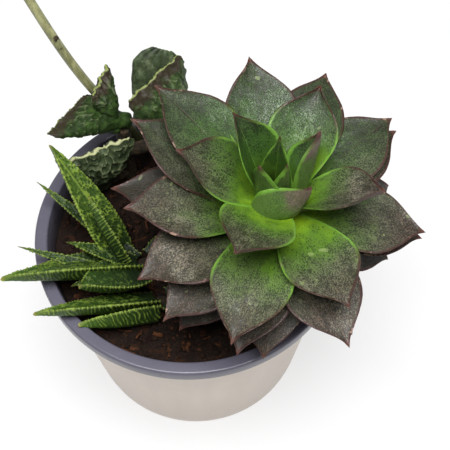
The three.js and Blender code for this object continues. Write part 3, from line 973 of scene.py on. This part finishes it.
# %% [markdown]
# ## How every leaf is made
#
# All three plants grow blades, so one way of modelling serves them all. A sheet of squares stands on its
# end, one unit long and wide, with its upper face towards -X. Its columns are pushed back to give the
# section across the blade, and its rows are drawn in to give the outline. A Solidify modifier gives it
# flesh, thick in the middle and thin at the margin, and a Subdivision Surface rounds it.

# %% One leaf blank


def along_points(points, t):
    """A smooth value along a list of (position, value) points."""
    last = len(points) - 1
    after = next((i for i, (at, _) in enumerate(points) if at >= t), last)
    after = max(1, after)
    p0, p1, p2, p3 = (points[min(max(i, 0), last)] for i in range(after - 2, after + 2))
    span = p2[0] - p1[0]
    u = (t - p1[0]) / span
    m1 = (p2[1] - p0[1]) / (p2[0] - p0[0]) * span
    m2 = (p3[1] - p1[1]) / (p3[0] - p1[0]) * span
    rising = 3 * u ** 2 - 2 * u ** 3
    return (1 - rising) * p1[1] + (u ** 3 - 2 * u ** 2 + u) * m1 + rising * p2[1] + (u ** 3 - u ** 2) * m2


def shape_sheet(sheet, form):
    """Pushes the columns back for the section and draws the rows in for the outline."""
    rows, columns = form["rows"], form["columns"]
    edit(sheet)
    for j in range(columns + 1):
        s = 2 * j / columns - 1
        pick(sheet, lambda vert: abs(vert.co.y - s / 2) < 0.25 / columns)
        bpy.ops.transform.translate(value=(-form["fold"](s), 0, 0))
    for i in range(rows + 1):
        t = i / rows
        pick(sheet, lambda vert: abs(vert.co.z - t) < 0.25 / rows)
        half = max(along_points(form["outline"], t), 0.0)
        bpy.ops.transform.resize(value=(form["lift"](t), half, 1), center_override=(0, 0, t))
    if form["outline"][-1][1] == 0:
        pick(sheet, lambda vert: vert.co.z > 1 - 0.25 / rows)
        bpy.ops.mesh.merge(type="CENTER")
    leave()


def model_blade(name, form, thick):
    """A leaf blank, one unit long and wide, but already as thick and as cupped as the real leaf."""
    sheet = started(
        name, bpy.ops.mesh.primitive_grid_add, x_subdivisions=form["rows"], y_subdivisions=form["columns"],
        size=1, location=(0, 0, 0.5), rotation=(0, -math.pi / 2, 0))
    group = sheet.vertex_groups.new(name="body")
    for vert in sheet.data.vertices:
        share = along_points(form["body"], vert.co.z) * form["swell"](2 * vert.co.y)
        group.add([vert.index], min(max(share, form["thin"]), 1.0), "REPLACE")
    shape_sheet(sheet, form)
    press(sheet, "SOLIDIFY", thickness=thick, offset=form["offset"], vertex_group="body",
          thickness_vertex_group=0.0, use_rim=True, edge_crease_rim=form["crease"])
    press(sheet, "SUBSURF", levels=1, render_levels=1)
    return sheet


# %% [markdown]
# ## Growing a leaf
#
# Each copy of a blank is scaled to its own length and width, marked with its age, bent with a Simple
# Deform modifier, and only then stood in its place: rolled about its own line, leaned out from upright,
# turned to its compass turn and lifted to where it leaves the stem. The place goes into the mesh.
#
# No two leaves are quite alike, but they have to be the same each time the script runs, so both sources
# of chance get a fixed seed: Python's own, and the one behind Blender's noise vectors.

# %% Grow one leaf
chance = random.Random(7)
noise.seed_set(7)


def mark_leaf(leaf, age):
    """Writes what the finish reads: the flat place, the age, and which side is the underside."""
    count = len(leaf.data.vertices)
    places = np.empty(count * 3, np.float32)
    normals = np.empty(count * 3, np.float32)
    leaf.data.vertices.foreach_get("co", places)
    leaf.data.vertex_normals.foreach_get("vector", normals)
    places[::3] += chance.uniform(0, 3)
    under = np.clip(0.5 + 2 * normals[::3], 0, 1)
    write_attribute(leaf, "flat", places, "FLOAT_VECTOR")
    write_attribute(leaf, "under", under.astype(np.float32))
    write_attribute(leaf, "age", np.full(count, age, np.float32))


def raise_relief(leaf, height_at, strength):
    """Lifts ridges out of a leaf's skin: height_at gives 0 to 1 for a place and a side of the leaf."""
    group = leaf.vertex_groups.new(name="raised")
    heights = [min(max(height_at(vert.co / MM, vert.normal.x < 0), 0.0), 1.0) for vert in leaf.data.vertices]
    for index, height in enumerate(heights):
        group.add([index], height, "REPLACE")
    write_attribute(leaf, "relief", np.array(heights, np.float32))
    press(leaf, "DISPLACE", strength=strength * MM, mid_level=0, vertex_group="raised")


def grow(blank, name, plant, base, turn, pitch, curve, length, width, roll, age, relief=None, strength=0.0):
    """A leaf on a plant: base in mm above the plant's foot, angles in degrees, sizes in mm."""
    leaf = copy_of(blank, name)
    leaf.scale = (1, width * MM, length * MM)
    settle(leaf)
    mark_leaf(leaf, age)
    if relief:
        raise_relief(leaf, relief, strength)
    if curve:
        press(leaf, "SIMPLE_DEFORM", deform_method="BEND", deform_axis="Y", angle=-math.radians(curve))
    place = Matrix.Translation(Vector(base) * MM)
    for angle, axis in ((turn, "Z"), (90 - pitch, "Y"), (roll, "Z")):
        place = place @ Matrix.Rotation(math.radians(angle), 4, axis)
    stand(leaf, plant @ place)
    return leaf


# %% [markdown]
# ## The rosette
#
# The big plant is a spiral of about forty fleshy leaves on a short stem. A leaf is widest somewhat past
# the middle and ends in a sharp point. Its margins turn up, most in the heart, where one leaf lies rolled
# round the others. One blank is modelled for each whorl, at that whorl's thickness and cup, and the
# leaves of the whorl are copies of it.

# %% Rosette blanks and leaves
ROSETTE_OUTLINE = [
    (0, 0.34), (0.2, 0.54), (0.42, 0.86), (0.58, 1), (0.7, 0.9), (0.8, 0.64), (0.88, 0.33), (0.93, 0.14),
    (0.965, 0.045), (1, 0),
]
HEART_OUTLINE = [
    (0, 0.8), (0.2, 0.98), (0.4, 0.92), (0.57, 0.74), (0.7, 0.54), (0.81, 0.34), (0.9, 0.16), (0.95, 0.08),
    (1, 0),
]
WRAP_OUTLINE = [
    (0, 0.35), (0.1, 0.75), (0.25, 0.97), (0.45, 1), (0.62, 0.86), (0.78, 0.55), (0.9, 0.22), (1, 0),
]
FLESHY_BODY = [(0, 1), (0.4, 1), (0.75, 0.7), (0.94, 0.4), (1, 0.2)]
ROSETTE_STEM_RADIUS = 4.5
ROSETTE_HEART = 44
LEAF_ROOT_INSIDE = 2.5
KEELED_BELOW_AGE = 0.2

# Whorls from the heart out: outline, drop below the heart, thickness, cup, age of the leaves, and the
# leaves as (turn, pitch, bend, length, width, roll). A heart leaf that doesn't point straight away from
# the stem also has (the turn at which it leaves the stem, its reach from the middle). A whorl whose
# leaves differ in colour is in two rows, with an age for each.
WHORLS = [
    (HEART_OUTLINE, -3, 1.6, 3.8, 0.0, [(96, 84, -4, 25, 12, -24, (134, 2.6))]),
    (HEART_OUTLINE, 1, 1.6, 3.4, 0.0, [
        (177, 85, 0, 25, 14, 45, (202, 6.5)), (302, 89, 6, 24, 10.5, 7, (288, 2.2))]),
    (WRAP_OUTLINE, -1.5, 2.0, 3.4, 0.14, [(-51, 14, 120, 23.4, 20, -76, (205, 10.1))]),
    (ROSETTE_OUTLINE, 3, 2.4, 6.0, 0.14, [
        (126, 63, -8, 35, 16, 8, (170, 4)), (49, 45, 17, 28, 12, -52, (-50, 4))]),
    (ROSETTE_OUTLINE, 6, 3.4, 3.2, 0.24, [
        (167, 51, -24, 40, 22, 0), (238, 53, -30, 40, 24, 0), (65, 46, -24, 39, 22, 0)]),
    # This leaf's higher age greys and darkens it, partly as painted shade.
    (ROSETTE_OUTLINE, 6, 3.4, 3.2, 0.42, [(352, 46, -24, 35, 22, -25)]),
    (ROSETTE_OUTLINE, 8.5, 3.8, 2.6, 0.26, [(292, 31, -30, 43, 24, 0), (248, 25, -34, 50, 25, 0)]),
    (ROSETTE_OUTLINE, 8.5, 3.8, 2.6, 0.4, [(98, 38, -26, 49, 24, 0), (138, 36, -18, 54, 24, 0)]),
    (ROSETTE_OUTLINE, 11, 4.0, 2.2, 0.48, [
        (183, 32, -30, 49, 24, 0), (36, 24, -24, 48, 24, 0),
        (349, 16, -30, 45, 24, 0), (67, 26, -30, 51, 23, 0)]),
    (ROSETTE_OUTLINE, 13.5, 4.0, 2.0, 0.62, [
        (206, 26, -36, 50, 24, 0), (290, 22, -36, 48, 25, 0), (151, 36, -20, 55, 23, 0),
        (250, 19, -38, 47, 24, 0), (33, 24, -30, 48, 23, 0)]),
    (ROSETTE_OUTLINE, 16.5, 3.8, 1.8, 0.66, [
        (219, 20, -46, 48, 22, 0), (260, 10, -46, 43, 22, 0), (351, 21, -44, 46, 22, 0)]),
    (ROSETTE_OUTLINE, 16.5, 3.8, 1.8, 0.86, [
        (167, 28, -40, 53, 22, 0), (106, 40, -110, 58, 26, 0), (345, 10, -50, 38, 22, 0),
        (22, 26, -70, 44, 22, 0)]),
    (ROSETTE_OUTLINE, 20, 3.6, 1.6, 1.0, [
        (221, 6, -44, 44, 20, 0), (58, 10, -60, 44, 20, 0), (88, 8, -60, 44, 20, 0),
        (190, 4, -56, 42, 20, 0), (308, -2, -50, 42, 20, 0), (20, 4, -60, 42, 20, 0),
        (135, 4, -56, 42, 20, 0)]),
]


def rosette_form(outline, cup, keeled):
    """Heart leaves are keeled: folded along the middle. The others are cupped, most half way along."""
    form = {
        "rows": 22, "columns": 12, "outline": outline, "body": FLESHY_BODY, "thin": 0.07,
        "offset": -0.5, "crease": 0.6,
        "fold": lambda s: cup * MM * s * s,
        "lift": lambda t: math.sin(math.pi * min(1, 0.2 + 0.8 * t)) + 0.35 * max(0, t - 0.7) / 0.3,
        "swell": lambda s: 1 - s * s,
    }
    if keeled:
        form["fold"] = lambda s: cup * MM * abs(s) ** 1.25
        form["lift"] = lambda t: 0.02 + along_points(outline, t)
    return form


def grow_rosette():
    leaves = []
    reach = ROSETTE_STEM_RADIUS - LEAF_ROOT_INSIDE
    uneven = clouds("leaf unevenness", 11 * MM)
    for outline, drop, thick, cup, age, rows in WHORLS:
        form = rosette_form(outline, cup, keeled=age < KEELED_BELOW_AGE)
        blank = model_blade("rosette_blank", form, thick * MM)
        for turn, pitch, curve, length, width, roll, *leaves_at in rows:
            start, out = leaves_at[0] if leaves_at else (turn, reach)
            angle = math.radians(start)
            base = (out * math.cos(angle), out * math.sin(angle), ROSETTE_HEART - drop)
            name = f"rosette_leaf_{len(leaves) + 1:02d}"
            own_age = min(1.0, max(0.0, age + chance.uniform(-0.05, 0.05)))
            leaf = grow(blank, name, ROSETTE_PLACE, base, turn, pitch, curve, length, width, roll, own_age)
            press(leaf, "DISPLACE", texture=uneven, strength=0.9 * MM, mid_level=0.5)
            leaves.append(hand_over(leaf, "rosette", "rosette_leaf", ROSETTE_LEAF))
        discard(blank)
    return leaves


rosette_leaves = grow_rosette()
print(len(rosette_leaves), "rosette leaves,", sum(len(p.data.polygons) for p in rosette_leaves), "faces")

# %% [markdown]
# ## The stem under the rosette
#
# Under its leaves the rosette stands on a short corky stem with the scars of leaves it has shed. It is
# turned as the pot was, from many rings. Every few rings one is drawn in, and the knobbly bark comes from
# a Displace modifier.

# %% Rosette stem


def scarred(radius, low, high, rings, every, waist, taper=0.0):
    """The profile of a stem: a ring in every few is drawn in to a waist."""
    shares = [(1 - taper * i / rings) * (waist if i % every == every // 2 else 1.0) for i in range(rings + 1)]
    return [(radius * share, low + (high - low) * i / rings) for i, share in enumerate(shares)]


def make_rosette_stem():
    top = (ROSETTE_HEART - 5) * MM
    profile = scarred(ROSETTE_STEM_RADIUS * MM, -STEM_DEPTH, top, rings=40, every=3, waist=0.9)
    stem = turned("rosette_stem", profile, 24)
    press(stem, "DISPLACE", texture=clouds("stem bark", 2.5 * MM), strength=0.7 * MM, mid_level=0.7)
    stand(stem, ROSETTE_PLACE)
    return hand_over(stem, "rosette", "rosette_leaf", BARK)


rosette_stem = make_rosette_stem()
print("rosette stem:", len(rosette_stem.data.polygons), "faces")

# %% [markdown]
# ## The crinkle-leaf plant
#
# Its leaves are thick wedges that widen from a round stalk to a thin crest, and the crest is waved like
# a pie crust. The same blank builder makes them: the section is a full oval this time, and the fold
# across the sheet is a sine wave that grows towards the crest. The leaf at the back is plainer and
# narrows to its crest.

# %% Crinkle-leaf blanks and leaves
CRINKLE_OUTLINE = [(0, 0.24), (0.2, 0.32), (0.4, 0.56), (0.6, 0.8), (0.8, 0.97), (0.92, 1), (1, 0.93)]
PLAIN_OUTLINE = [(0, 0.3), (0.2, 0.42), (0.4, 0.7), (0.6, 0.9), (0.78, 1), (0.9, 0.86), (0.96, 0.66), (1, 0.4)]
CRINKLE_BODY = [(0, 0.62), (0.2, 0.7), (0.45, 1), (0.7, 0.86), (0.88, 0.44), (0.96, 0.15), (1, 0.07)]
CRINKLE_THICK = 8 * MM
CRINKLE_WAVE = 0.5 * MM
PLAIN_LEAF = 4

# base above the foot, turn, pitch, bend, roll, length, width, slant of the crest, bloom, wrinkles in mm
CRINKLE_LEAVES = [
    ((2.8, 1.5, 27.8), 187, 26, 0, 10, 23, 23, 0.4, 0.1, 0.5),
    ((-2.8, -2, 27), 112, 60, 8, 40, 20, 11.5, -0.15, 0.15, 0.4),
    ((-9, -7, 3), 288, 80, 10, 0, 25, 24, 0.05, 0.9, 0.9),
    ((5.4, 4.5, 23), 50, 56, 0, 45, 28, 16.5, 0, 1.0, 0),
    ((20, -4, 23), 130, 62, 0, 10, 26, 27, 0, 0.25, 0.5),
]


def crinkle_form(outline, wave):
    return {
        "rows": 24, "columns": 36, "outline": outline, "body": CRINKLE_BODY, "thin": 0.07,
        "offset": 0, "crease": 0.2,
        "fold": lambda s: wave * (math.sin(7 * s) + 0.9 * math.sin(17 * s + 1)),
        "lift": lambda t: max(0, (t - 0.5) / 0.5) ** 3,
        "swell": lambda s: math.sqrt(max(0, 1 - s * s)),
    }


def wrinkles(place, upper):
    """Swirling wrinkles like those of a brain, none near the stalk: ridges where a noise crosses zero."""
    swirl = noise.noise_vector(place / 6) * 2.2
    ridge = 1 - min(1.0, 5 * abs(noise.noise((place + swirl) / 2.6 + Vector((0, 0, 7 if upper else 3)))))
    return ridge * min(1.0, max(0.0, place.z / 9 - 0.5))


def grow_crinkle_plant():
    wavy = model_blade("crinkle_blank", crinkle_form(CRINKLE_OUTLINE, CRINKLE_WAVE), CRINKLE_THICK)
    plain = model_blade("plain_blank", crinkle_form(PLAIN_OUTLINE, 0.3 * CRINKLE_WAVE), 0.8 * CRINKLE_THICK)
    lumps = clouds("crinkle lumps", 4 * MM)
    leaves = []
    for row in CRINKLE_LEAVES:
        base, turn, pitch, curve, roll, length, width, skew, bloom, height = row
        name = f"crinkle_leaf_{len(leaves) + 1}"
        slanted = copy_of(plain if len(leaves) + 1 == PLAIN_LEAF else wavy, "crinkle_slanted")
        press(slanted, "SIMPLE_DEFORM", deform_method="TAPER", deform_axis="Y", factor=2 * skew, lock_x=True)
        leaf = grow(slanted, name, CRINKLE_PLACE, base, turn, pitch, curve, length, width, roll, bloom,
                    wrinkles if height else None, height)
        press(leaf, "DISPLACE", texture=lumps, strength=1.0 * MM, mid_level=0.5)
        leaves.append(hand_over(leaf, "crinkle_leaf_plant", "crinkle_leaf", CRINKLE_LEAF))
        discard(slanted)
    discard(wavy)
    discard(plain)
    return leaves


crinkle_leaves = grow_crinkle_plant()
print(len(crinkle_leaves), "crinkle leaves")

# %% [markdown]
# ## Its shoots
#
# Three short woody shoots carry the leaves. Each is turned from many rings, tapered a little, roughened,
# and laid from one point to another.

# %% Crinkle-leaf shoots

# start and end above the foot, and radius, in mm
CRINKLE_SHOOTS = [
    ((0, 0, -12), (0, 0, 27), 3.2),
    ((0, 0, 13), (21, -3, 23), 2.6),
    ((0, 0, 2), (-9, -7, 4), 2.6),
]


def shoot(name, plant, start, end, radius):
    """A woody shoot from one point to another."""
    start, end = Vector(start) * MM, Vector(end) * MM
    way = end - start
    profile = scarred(radius * MM, 0, way.length, rings=24, every=4, waist=0.93, taper=0.25)
    piece = turned(name, profile, 20)
    press(piece, "DISPLACE", texture=clouds(f"{name} bark", 2.2 * MM), strength=0.6 * MM, mid_level=0.6)
    laid = way.to_track_quat("Z", "Y").to_matrix().to_4x4()
    stand(piece, plant @ Matrix.Translation(start) @ laid)
    return piece


for i, row in enumerate(CRINKLE_SHOOTS):
    piece = shoot(f"crinkle_shoot_{i + 1}", CRINKLE_PLACE, *row)
    hand_over(piece, "crinkle_leaf_plant", "crinkle_leaf", BARK)
    print(piece.name, len(piece.data.polygons), "faces")

# %% [markdown]
# ## The flower stalk
#
# The stalk rises from the back of the pot and sweeps to the left. It is a smooth curve with a round
# section, turned into a mesh. Two thirds of the way up sit a scar and a small dry bract, where a flower
# branch was.

# %% Flower stalk
STALK_ROUTE = [
    (0, 0, -12), (0, 0, -5), (0, 0, 2), (-4, 0.5, 14), (-15.5, 2, 34), (-25, 5, 58), (-30.5, 9, 73),
    (-34.5, 11.5, 84),
]
STALK_RADIUS = 1.55 * MM
NODE_AT = Vector((-24.6, 4.8, 57)) * MM
NODE_WAY = Vector((-5.5, 4, 15)).normalized()


def make_stalk():
    bpy.ops.object.select_all(action="DESELECT")
    bpy.ops.curve.primitive_nurbs_path_add()
    curve = bpy.context.object.data
    line = curve.splines[0]
    line.points.add(len(STALK_ROUTE) - len(line.points))
    for point, place in zip(line.points, STALK_ROUTE):
        point.co = (*(Vector(place) * MM), 1)
    line.order_u = 4
    line.use_endpoint_u = True
    line.resolution_u = 10
    curve.bevel_depth = STALK_RADIUS
    curve.bevel_resolution = 4
    curve.use_fill_caps = True
    bpy.ops.object.convert(target="MESH")
    stalk = bpy.context.object
    stalk.name = "stalk"
    edit(stalk, "SELECT")
    bpy.ops.mesh.remove_doubles(threshold=0.02 * MM)
    leave(outwards=True)
    stand(stalk, STALK_PLACE)
    return hand_over(stalk, "flower_stalk", "flower_stalk", STALK)


def make_node():
    """The dry scale that clasps the stalk at the node, and the scar above it."""
    form = {
        "rows": 8, "columns": 6, "outline": [(0, 0.9), (0.4, 1), (0.8, 0.5), (1, 0)],
        "body": [(0, 1), (1, 0.4)], "thin": 0.3, "offset": 0, "crease": 0.5,
        "fold": lambda s: 1.1 * MM * s * s,
        "lift": lambda t: 1,
        "swell": lambda s: 1 - s * s,
    }
    at = STALK_PLACE @ Matrix.Translation(NODE_AT) @ NODE_WAY.to_track_quat("Z", "X").to_matrix().to_4x4()
    bract = model_blade("bract", form, 0.4 * MM)
    bract.scale = (1, 2.6 * MM, 3.6 * MM)
    settle(bract)
    stand(bract, at @ Matrix.Translation((STALK_RADIUS, 0, -2.4 * MM)) @ Matrix.Rotation(0.18, 4, "Y"))
    hand_over(bract, "flower_stalk", "flower_stalk", STALK)
    scar = turned("scar", [(0.9 * MM, z * MM) for z in (-0.3, -0.025, 0.25)], 16)
    stand(scar, at @ Matrix.Translation((STALK_RADIUS, 0, 1.6 * MM)) @ Matrix.Rotation(math.pi / 2, 4, "Y"))
    hand_over(scar, "flower_stalk", "flower_stalk", BARK)


stalk = make_stalk()
make_node()
print("stalk:", len(stalk.data.polygons), "faces")

# %% [markdown]
# ## The ridged-leaf crowns
#
# These leaves are narrow and pointed, flat above and keeled below, with raised pale ridges. The sheet is
# long and fine, so that every ridge has rows of its own, and the ridges are lifted by a Displace
# modifier that reads how high each point should stand from a vertex group.

# %% Ridged leaf blanks and leaves
RIDGED_OUTLINE = [(0, 0.85), (0.25, 1), (0.5, 0.85), (0.75, 0.48), (0.9, 0.18), (0.97, 0.05), (1, 0)]
RIDGED_BODY = [(0, 1), (0.5, 0.85), (0.8, 0.45), (0.93, 0.16), (1, 0.04)]
RIDGED_CROWN_HEIGHT = 3.8
RIDGED_THICKNESS_SHARE = 0.42
RIDGE_HEIGHT = 0.4
RIDGE_SPACING = 1.5
NET_CELL = 1.5

# turn, pitch, bend, length, width, roll, depth of the green, and for a leaf whose foot isn't in the
# middle of the crown how far off it is
RIDGED_LEAVES = [
    (126, 53, -12, 47, 13.5, 20, 0.0, (-6, 0, 0)), (139, 61, 4, 28.5, 7, 75, 0.6, (-4, -1.8, 3)),
    (144, 21, 4, 43, 5, 0, 1.0), (168, 20, 0, 41.5, 4.5, 0, 1.0, (0, -7, 0)), (178, 38, -4, 27, 6, 0, 1.0),
    (191, 27, -14, 48, 14, 42, 0.4), (209, 33, -8, 24.5, 17, 15, 1.0, (0, -4, 3)),
    (186, 20, -4, 33, 10, 0, 0.9), (202, 14, -4, 24, 8, 0, 1.0),
    (36, 12, 0, 20, 9, 0, 0.8), (12, 10, 0, 22, 9, 0, 0.8), (348, 12, 0, 16, 9, 0, 0.8),
]
OFFSET_LEAVES = [
    (190, 20, -8, 42, 11, 42, 0.4), (192, 14, -6, 27, 12, 66, 0.2, (0, -4, 0)),
    (330, 12, 0, 20, 8, 0, 0.8), (8, 14, 0, 18, 8, 0, 0.8),
]


def ridged_form(width):
    return {
        "rows": 64, "columns": 16, "outline": RIDGED_OUTLINE, "body": RIDGED_BODY, "thin": 0.06,
        "offset": -0.6, "crease": 0.5,
        "fold": lambda s: 0.1 * width * s * s,
        "lift": lambda t: 1,
        "swell": lambda s: 1 - abs(s) ** 1.4,
    }


def smooth(value, low, high):
    """0 below low, 1 above high, smooth between them."""
    share = min(1.0, max(0.0, (value - low) / (high - low)))
    return share * share * (3 - 2 * share)


def ridges(length, width, depth, seed):
    """The ridges of one leaf: slanting dashes and teeth below, a net and a middle line above."""
    def height_at(place, upper):
        y, z = abs(place.y), place.z
        half = 0.5 * width * max(along_points(RIDGED_OUTLINE, min(1, max(0, z / length))), 0.05)
        spot = Vector((place.y, z, seed))
        beat = (z - 0.8 * y) / RIDGE_SPACING + 0.9 * noise.noise(spot / 3)
        wave = 0.5 + 0.5 * math.cos(2 * math.pi * beat)
        near, far = noise.voronoi(Vector((place.y / (0.8 * NET_CELL), z / NET_CELL, seed)))[0][:2]
        patchy = 0.55 + 0.45 * smooth(noise.noise(spot / 2.3), -0.3, 0.25)
        net = patchy * (1 - smooth(far - near, 0.04, 0.36 - 0.16 * depth))
        middle = (1 - depth) * (0.8 - 0.8 * smooth(y, 0.2, 0.5))
        teeth = smooth(wave, 0.6, 0.95) * smooth(y / half, 0.75, 0.95)
        point = 1 - smooth(z / length, 0.88, 0.97)
        if upper:
            return point * max(net * smooth(z, 2, 8), middle * smooth(z, 8, 20), teeth)
        dashes = patchy * smooth(wave, 0.5, 0.95) * smooth(y / half, 0.1, 0.35)
        return point * max(dashes, 0.35 * net, teeth)
    return height_at


def grow_ridged_crown(plant, crown, rows, node, first):
    """A crown of leaves on its stem. crown is how wide the ring of their feet is, in mm."""
    leaves = []
    for turn, pitch, curve, length, width, roll, depth, *foot in rows:
        blank = model_blade("ridged_blank", ridged_form(width * MM), RIDGED_THICKNESS_SHARE * width * MM)
        angle = math.radians(turn)
        base = Vector((crown / 2 * math.cos(angle), crown / 2 * math.sin(angle), RIDGED_CROWN_HEIGHT))
        base += Vector(foot[0] if foot else (0, 0, 0))
        name = f"{first}_{len(leaves) + 1:02d}"
        leaf = grow(blank, name, plant, base, turn, pitch, curve, length, width, roll, depth,
                    ridges(length, width, depth, 3.7 * turn), RIDGE_HEIGHT)
        leaves.append(hand_over(leaf, node, "ridged_leaf", RIDGED_LEAF))
        discard(blank)
    stem = shoot(f"{first}_stem", plant, (0, 0, -STEM_DEPTH / MM), (0, 0, RIDGED_CROWN_HEIGHT - 2), 0.8 * crown)
    hand_over(stem, node, "ridged_leaf", BARK)
    return leaves


ridged_leaves = grow_ridged_crown(RIDGED_PLACE, 5.5, RIDGED_LEAVES, "ridged_leaf_plant", "ridged_leaf")
ridged_leaves += grow_ridged_crown(OFFSET_PLACE, 3.5, OFFSET_LEAVES, "ridged_leaf_offset", "offset_leaf")
print(len(ridged_leaves), "ridged leaves")

# %% [markdown]
# ## The floor and the light
#
# The picture has a plain white ground, so bright that it hardly takes a shadow: a large sheet that glows
# a little stands for it. One large soft lamp hangs overhead, a little to the front. It gives the level
# leaves their sheen and leaves the steep ones dark. A pale even sky fills the shadows.

# %% Floor and light
GROUND_SIZE = 6
GROUND_GLOW = 0.66
SKY_STRENGTH = 0.2
LAMP_PLACE, LAMP_AIM = Vector((0, -0.17, 0.93)), Vector((0, 0, 0.08))
LAMP_WIDTH, LAMP_DEPTH, LAMP_POWER = 0.7, 0.5, 11


def make_floor():
    floor = started("floor", bpy.ops.mesh.primitive_plane_add, size=GROUND_SIZE)
    material, _ = new_material("pale ground")
    floor.data.materials.append(dress(
        material, Base_Color=(0.3, 0.3, 0.302, 1), Roughness=0.8, Emission_Color=(1, 1, 1, 1),
        Emission_Strength=GROUND_GLOW))
    return floor


def hang_lamp():
    bpy.ops.object.light_add(type="AREA", location=LAMP_PLACE)
    lamp = bpy.context.object
    lamp.name = "overhead"
    lamp.data.shape = "ELLIPSE"
    lamp.data.size = LAMP_WIDTH
    lamp.data.size_y = LAMP_DEPTH
    lamp.data.energy = LAMP_POWER
    lamp.rotation_euler = (LAMP_AIM - LAMP_PLACE).to_track_quat("-Z", "Y").to_euler()


def set_sky():
    world = bpy.data.worlds.new("soft sky")
    bpy.context.scene.world = world
    world.use_nodes = True
    sky = world.node_tree.nodes["Background"].inputs
    sky["Color"].default_value = (0.97, 0.985, 1, 1)
    sky["Strength"].default_value = SKY_STRENGTH


floor = make_floor()
hang_lamp()
set_sky()
bpy.context.scene.view_settings.view_transform = "Standard"
print("floor and light ready")
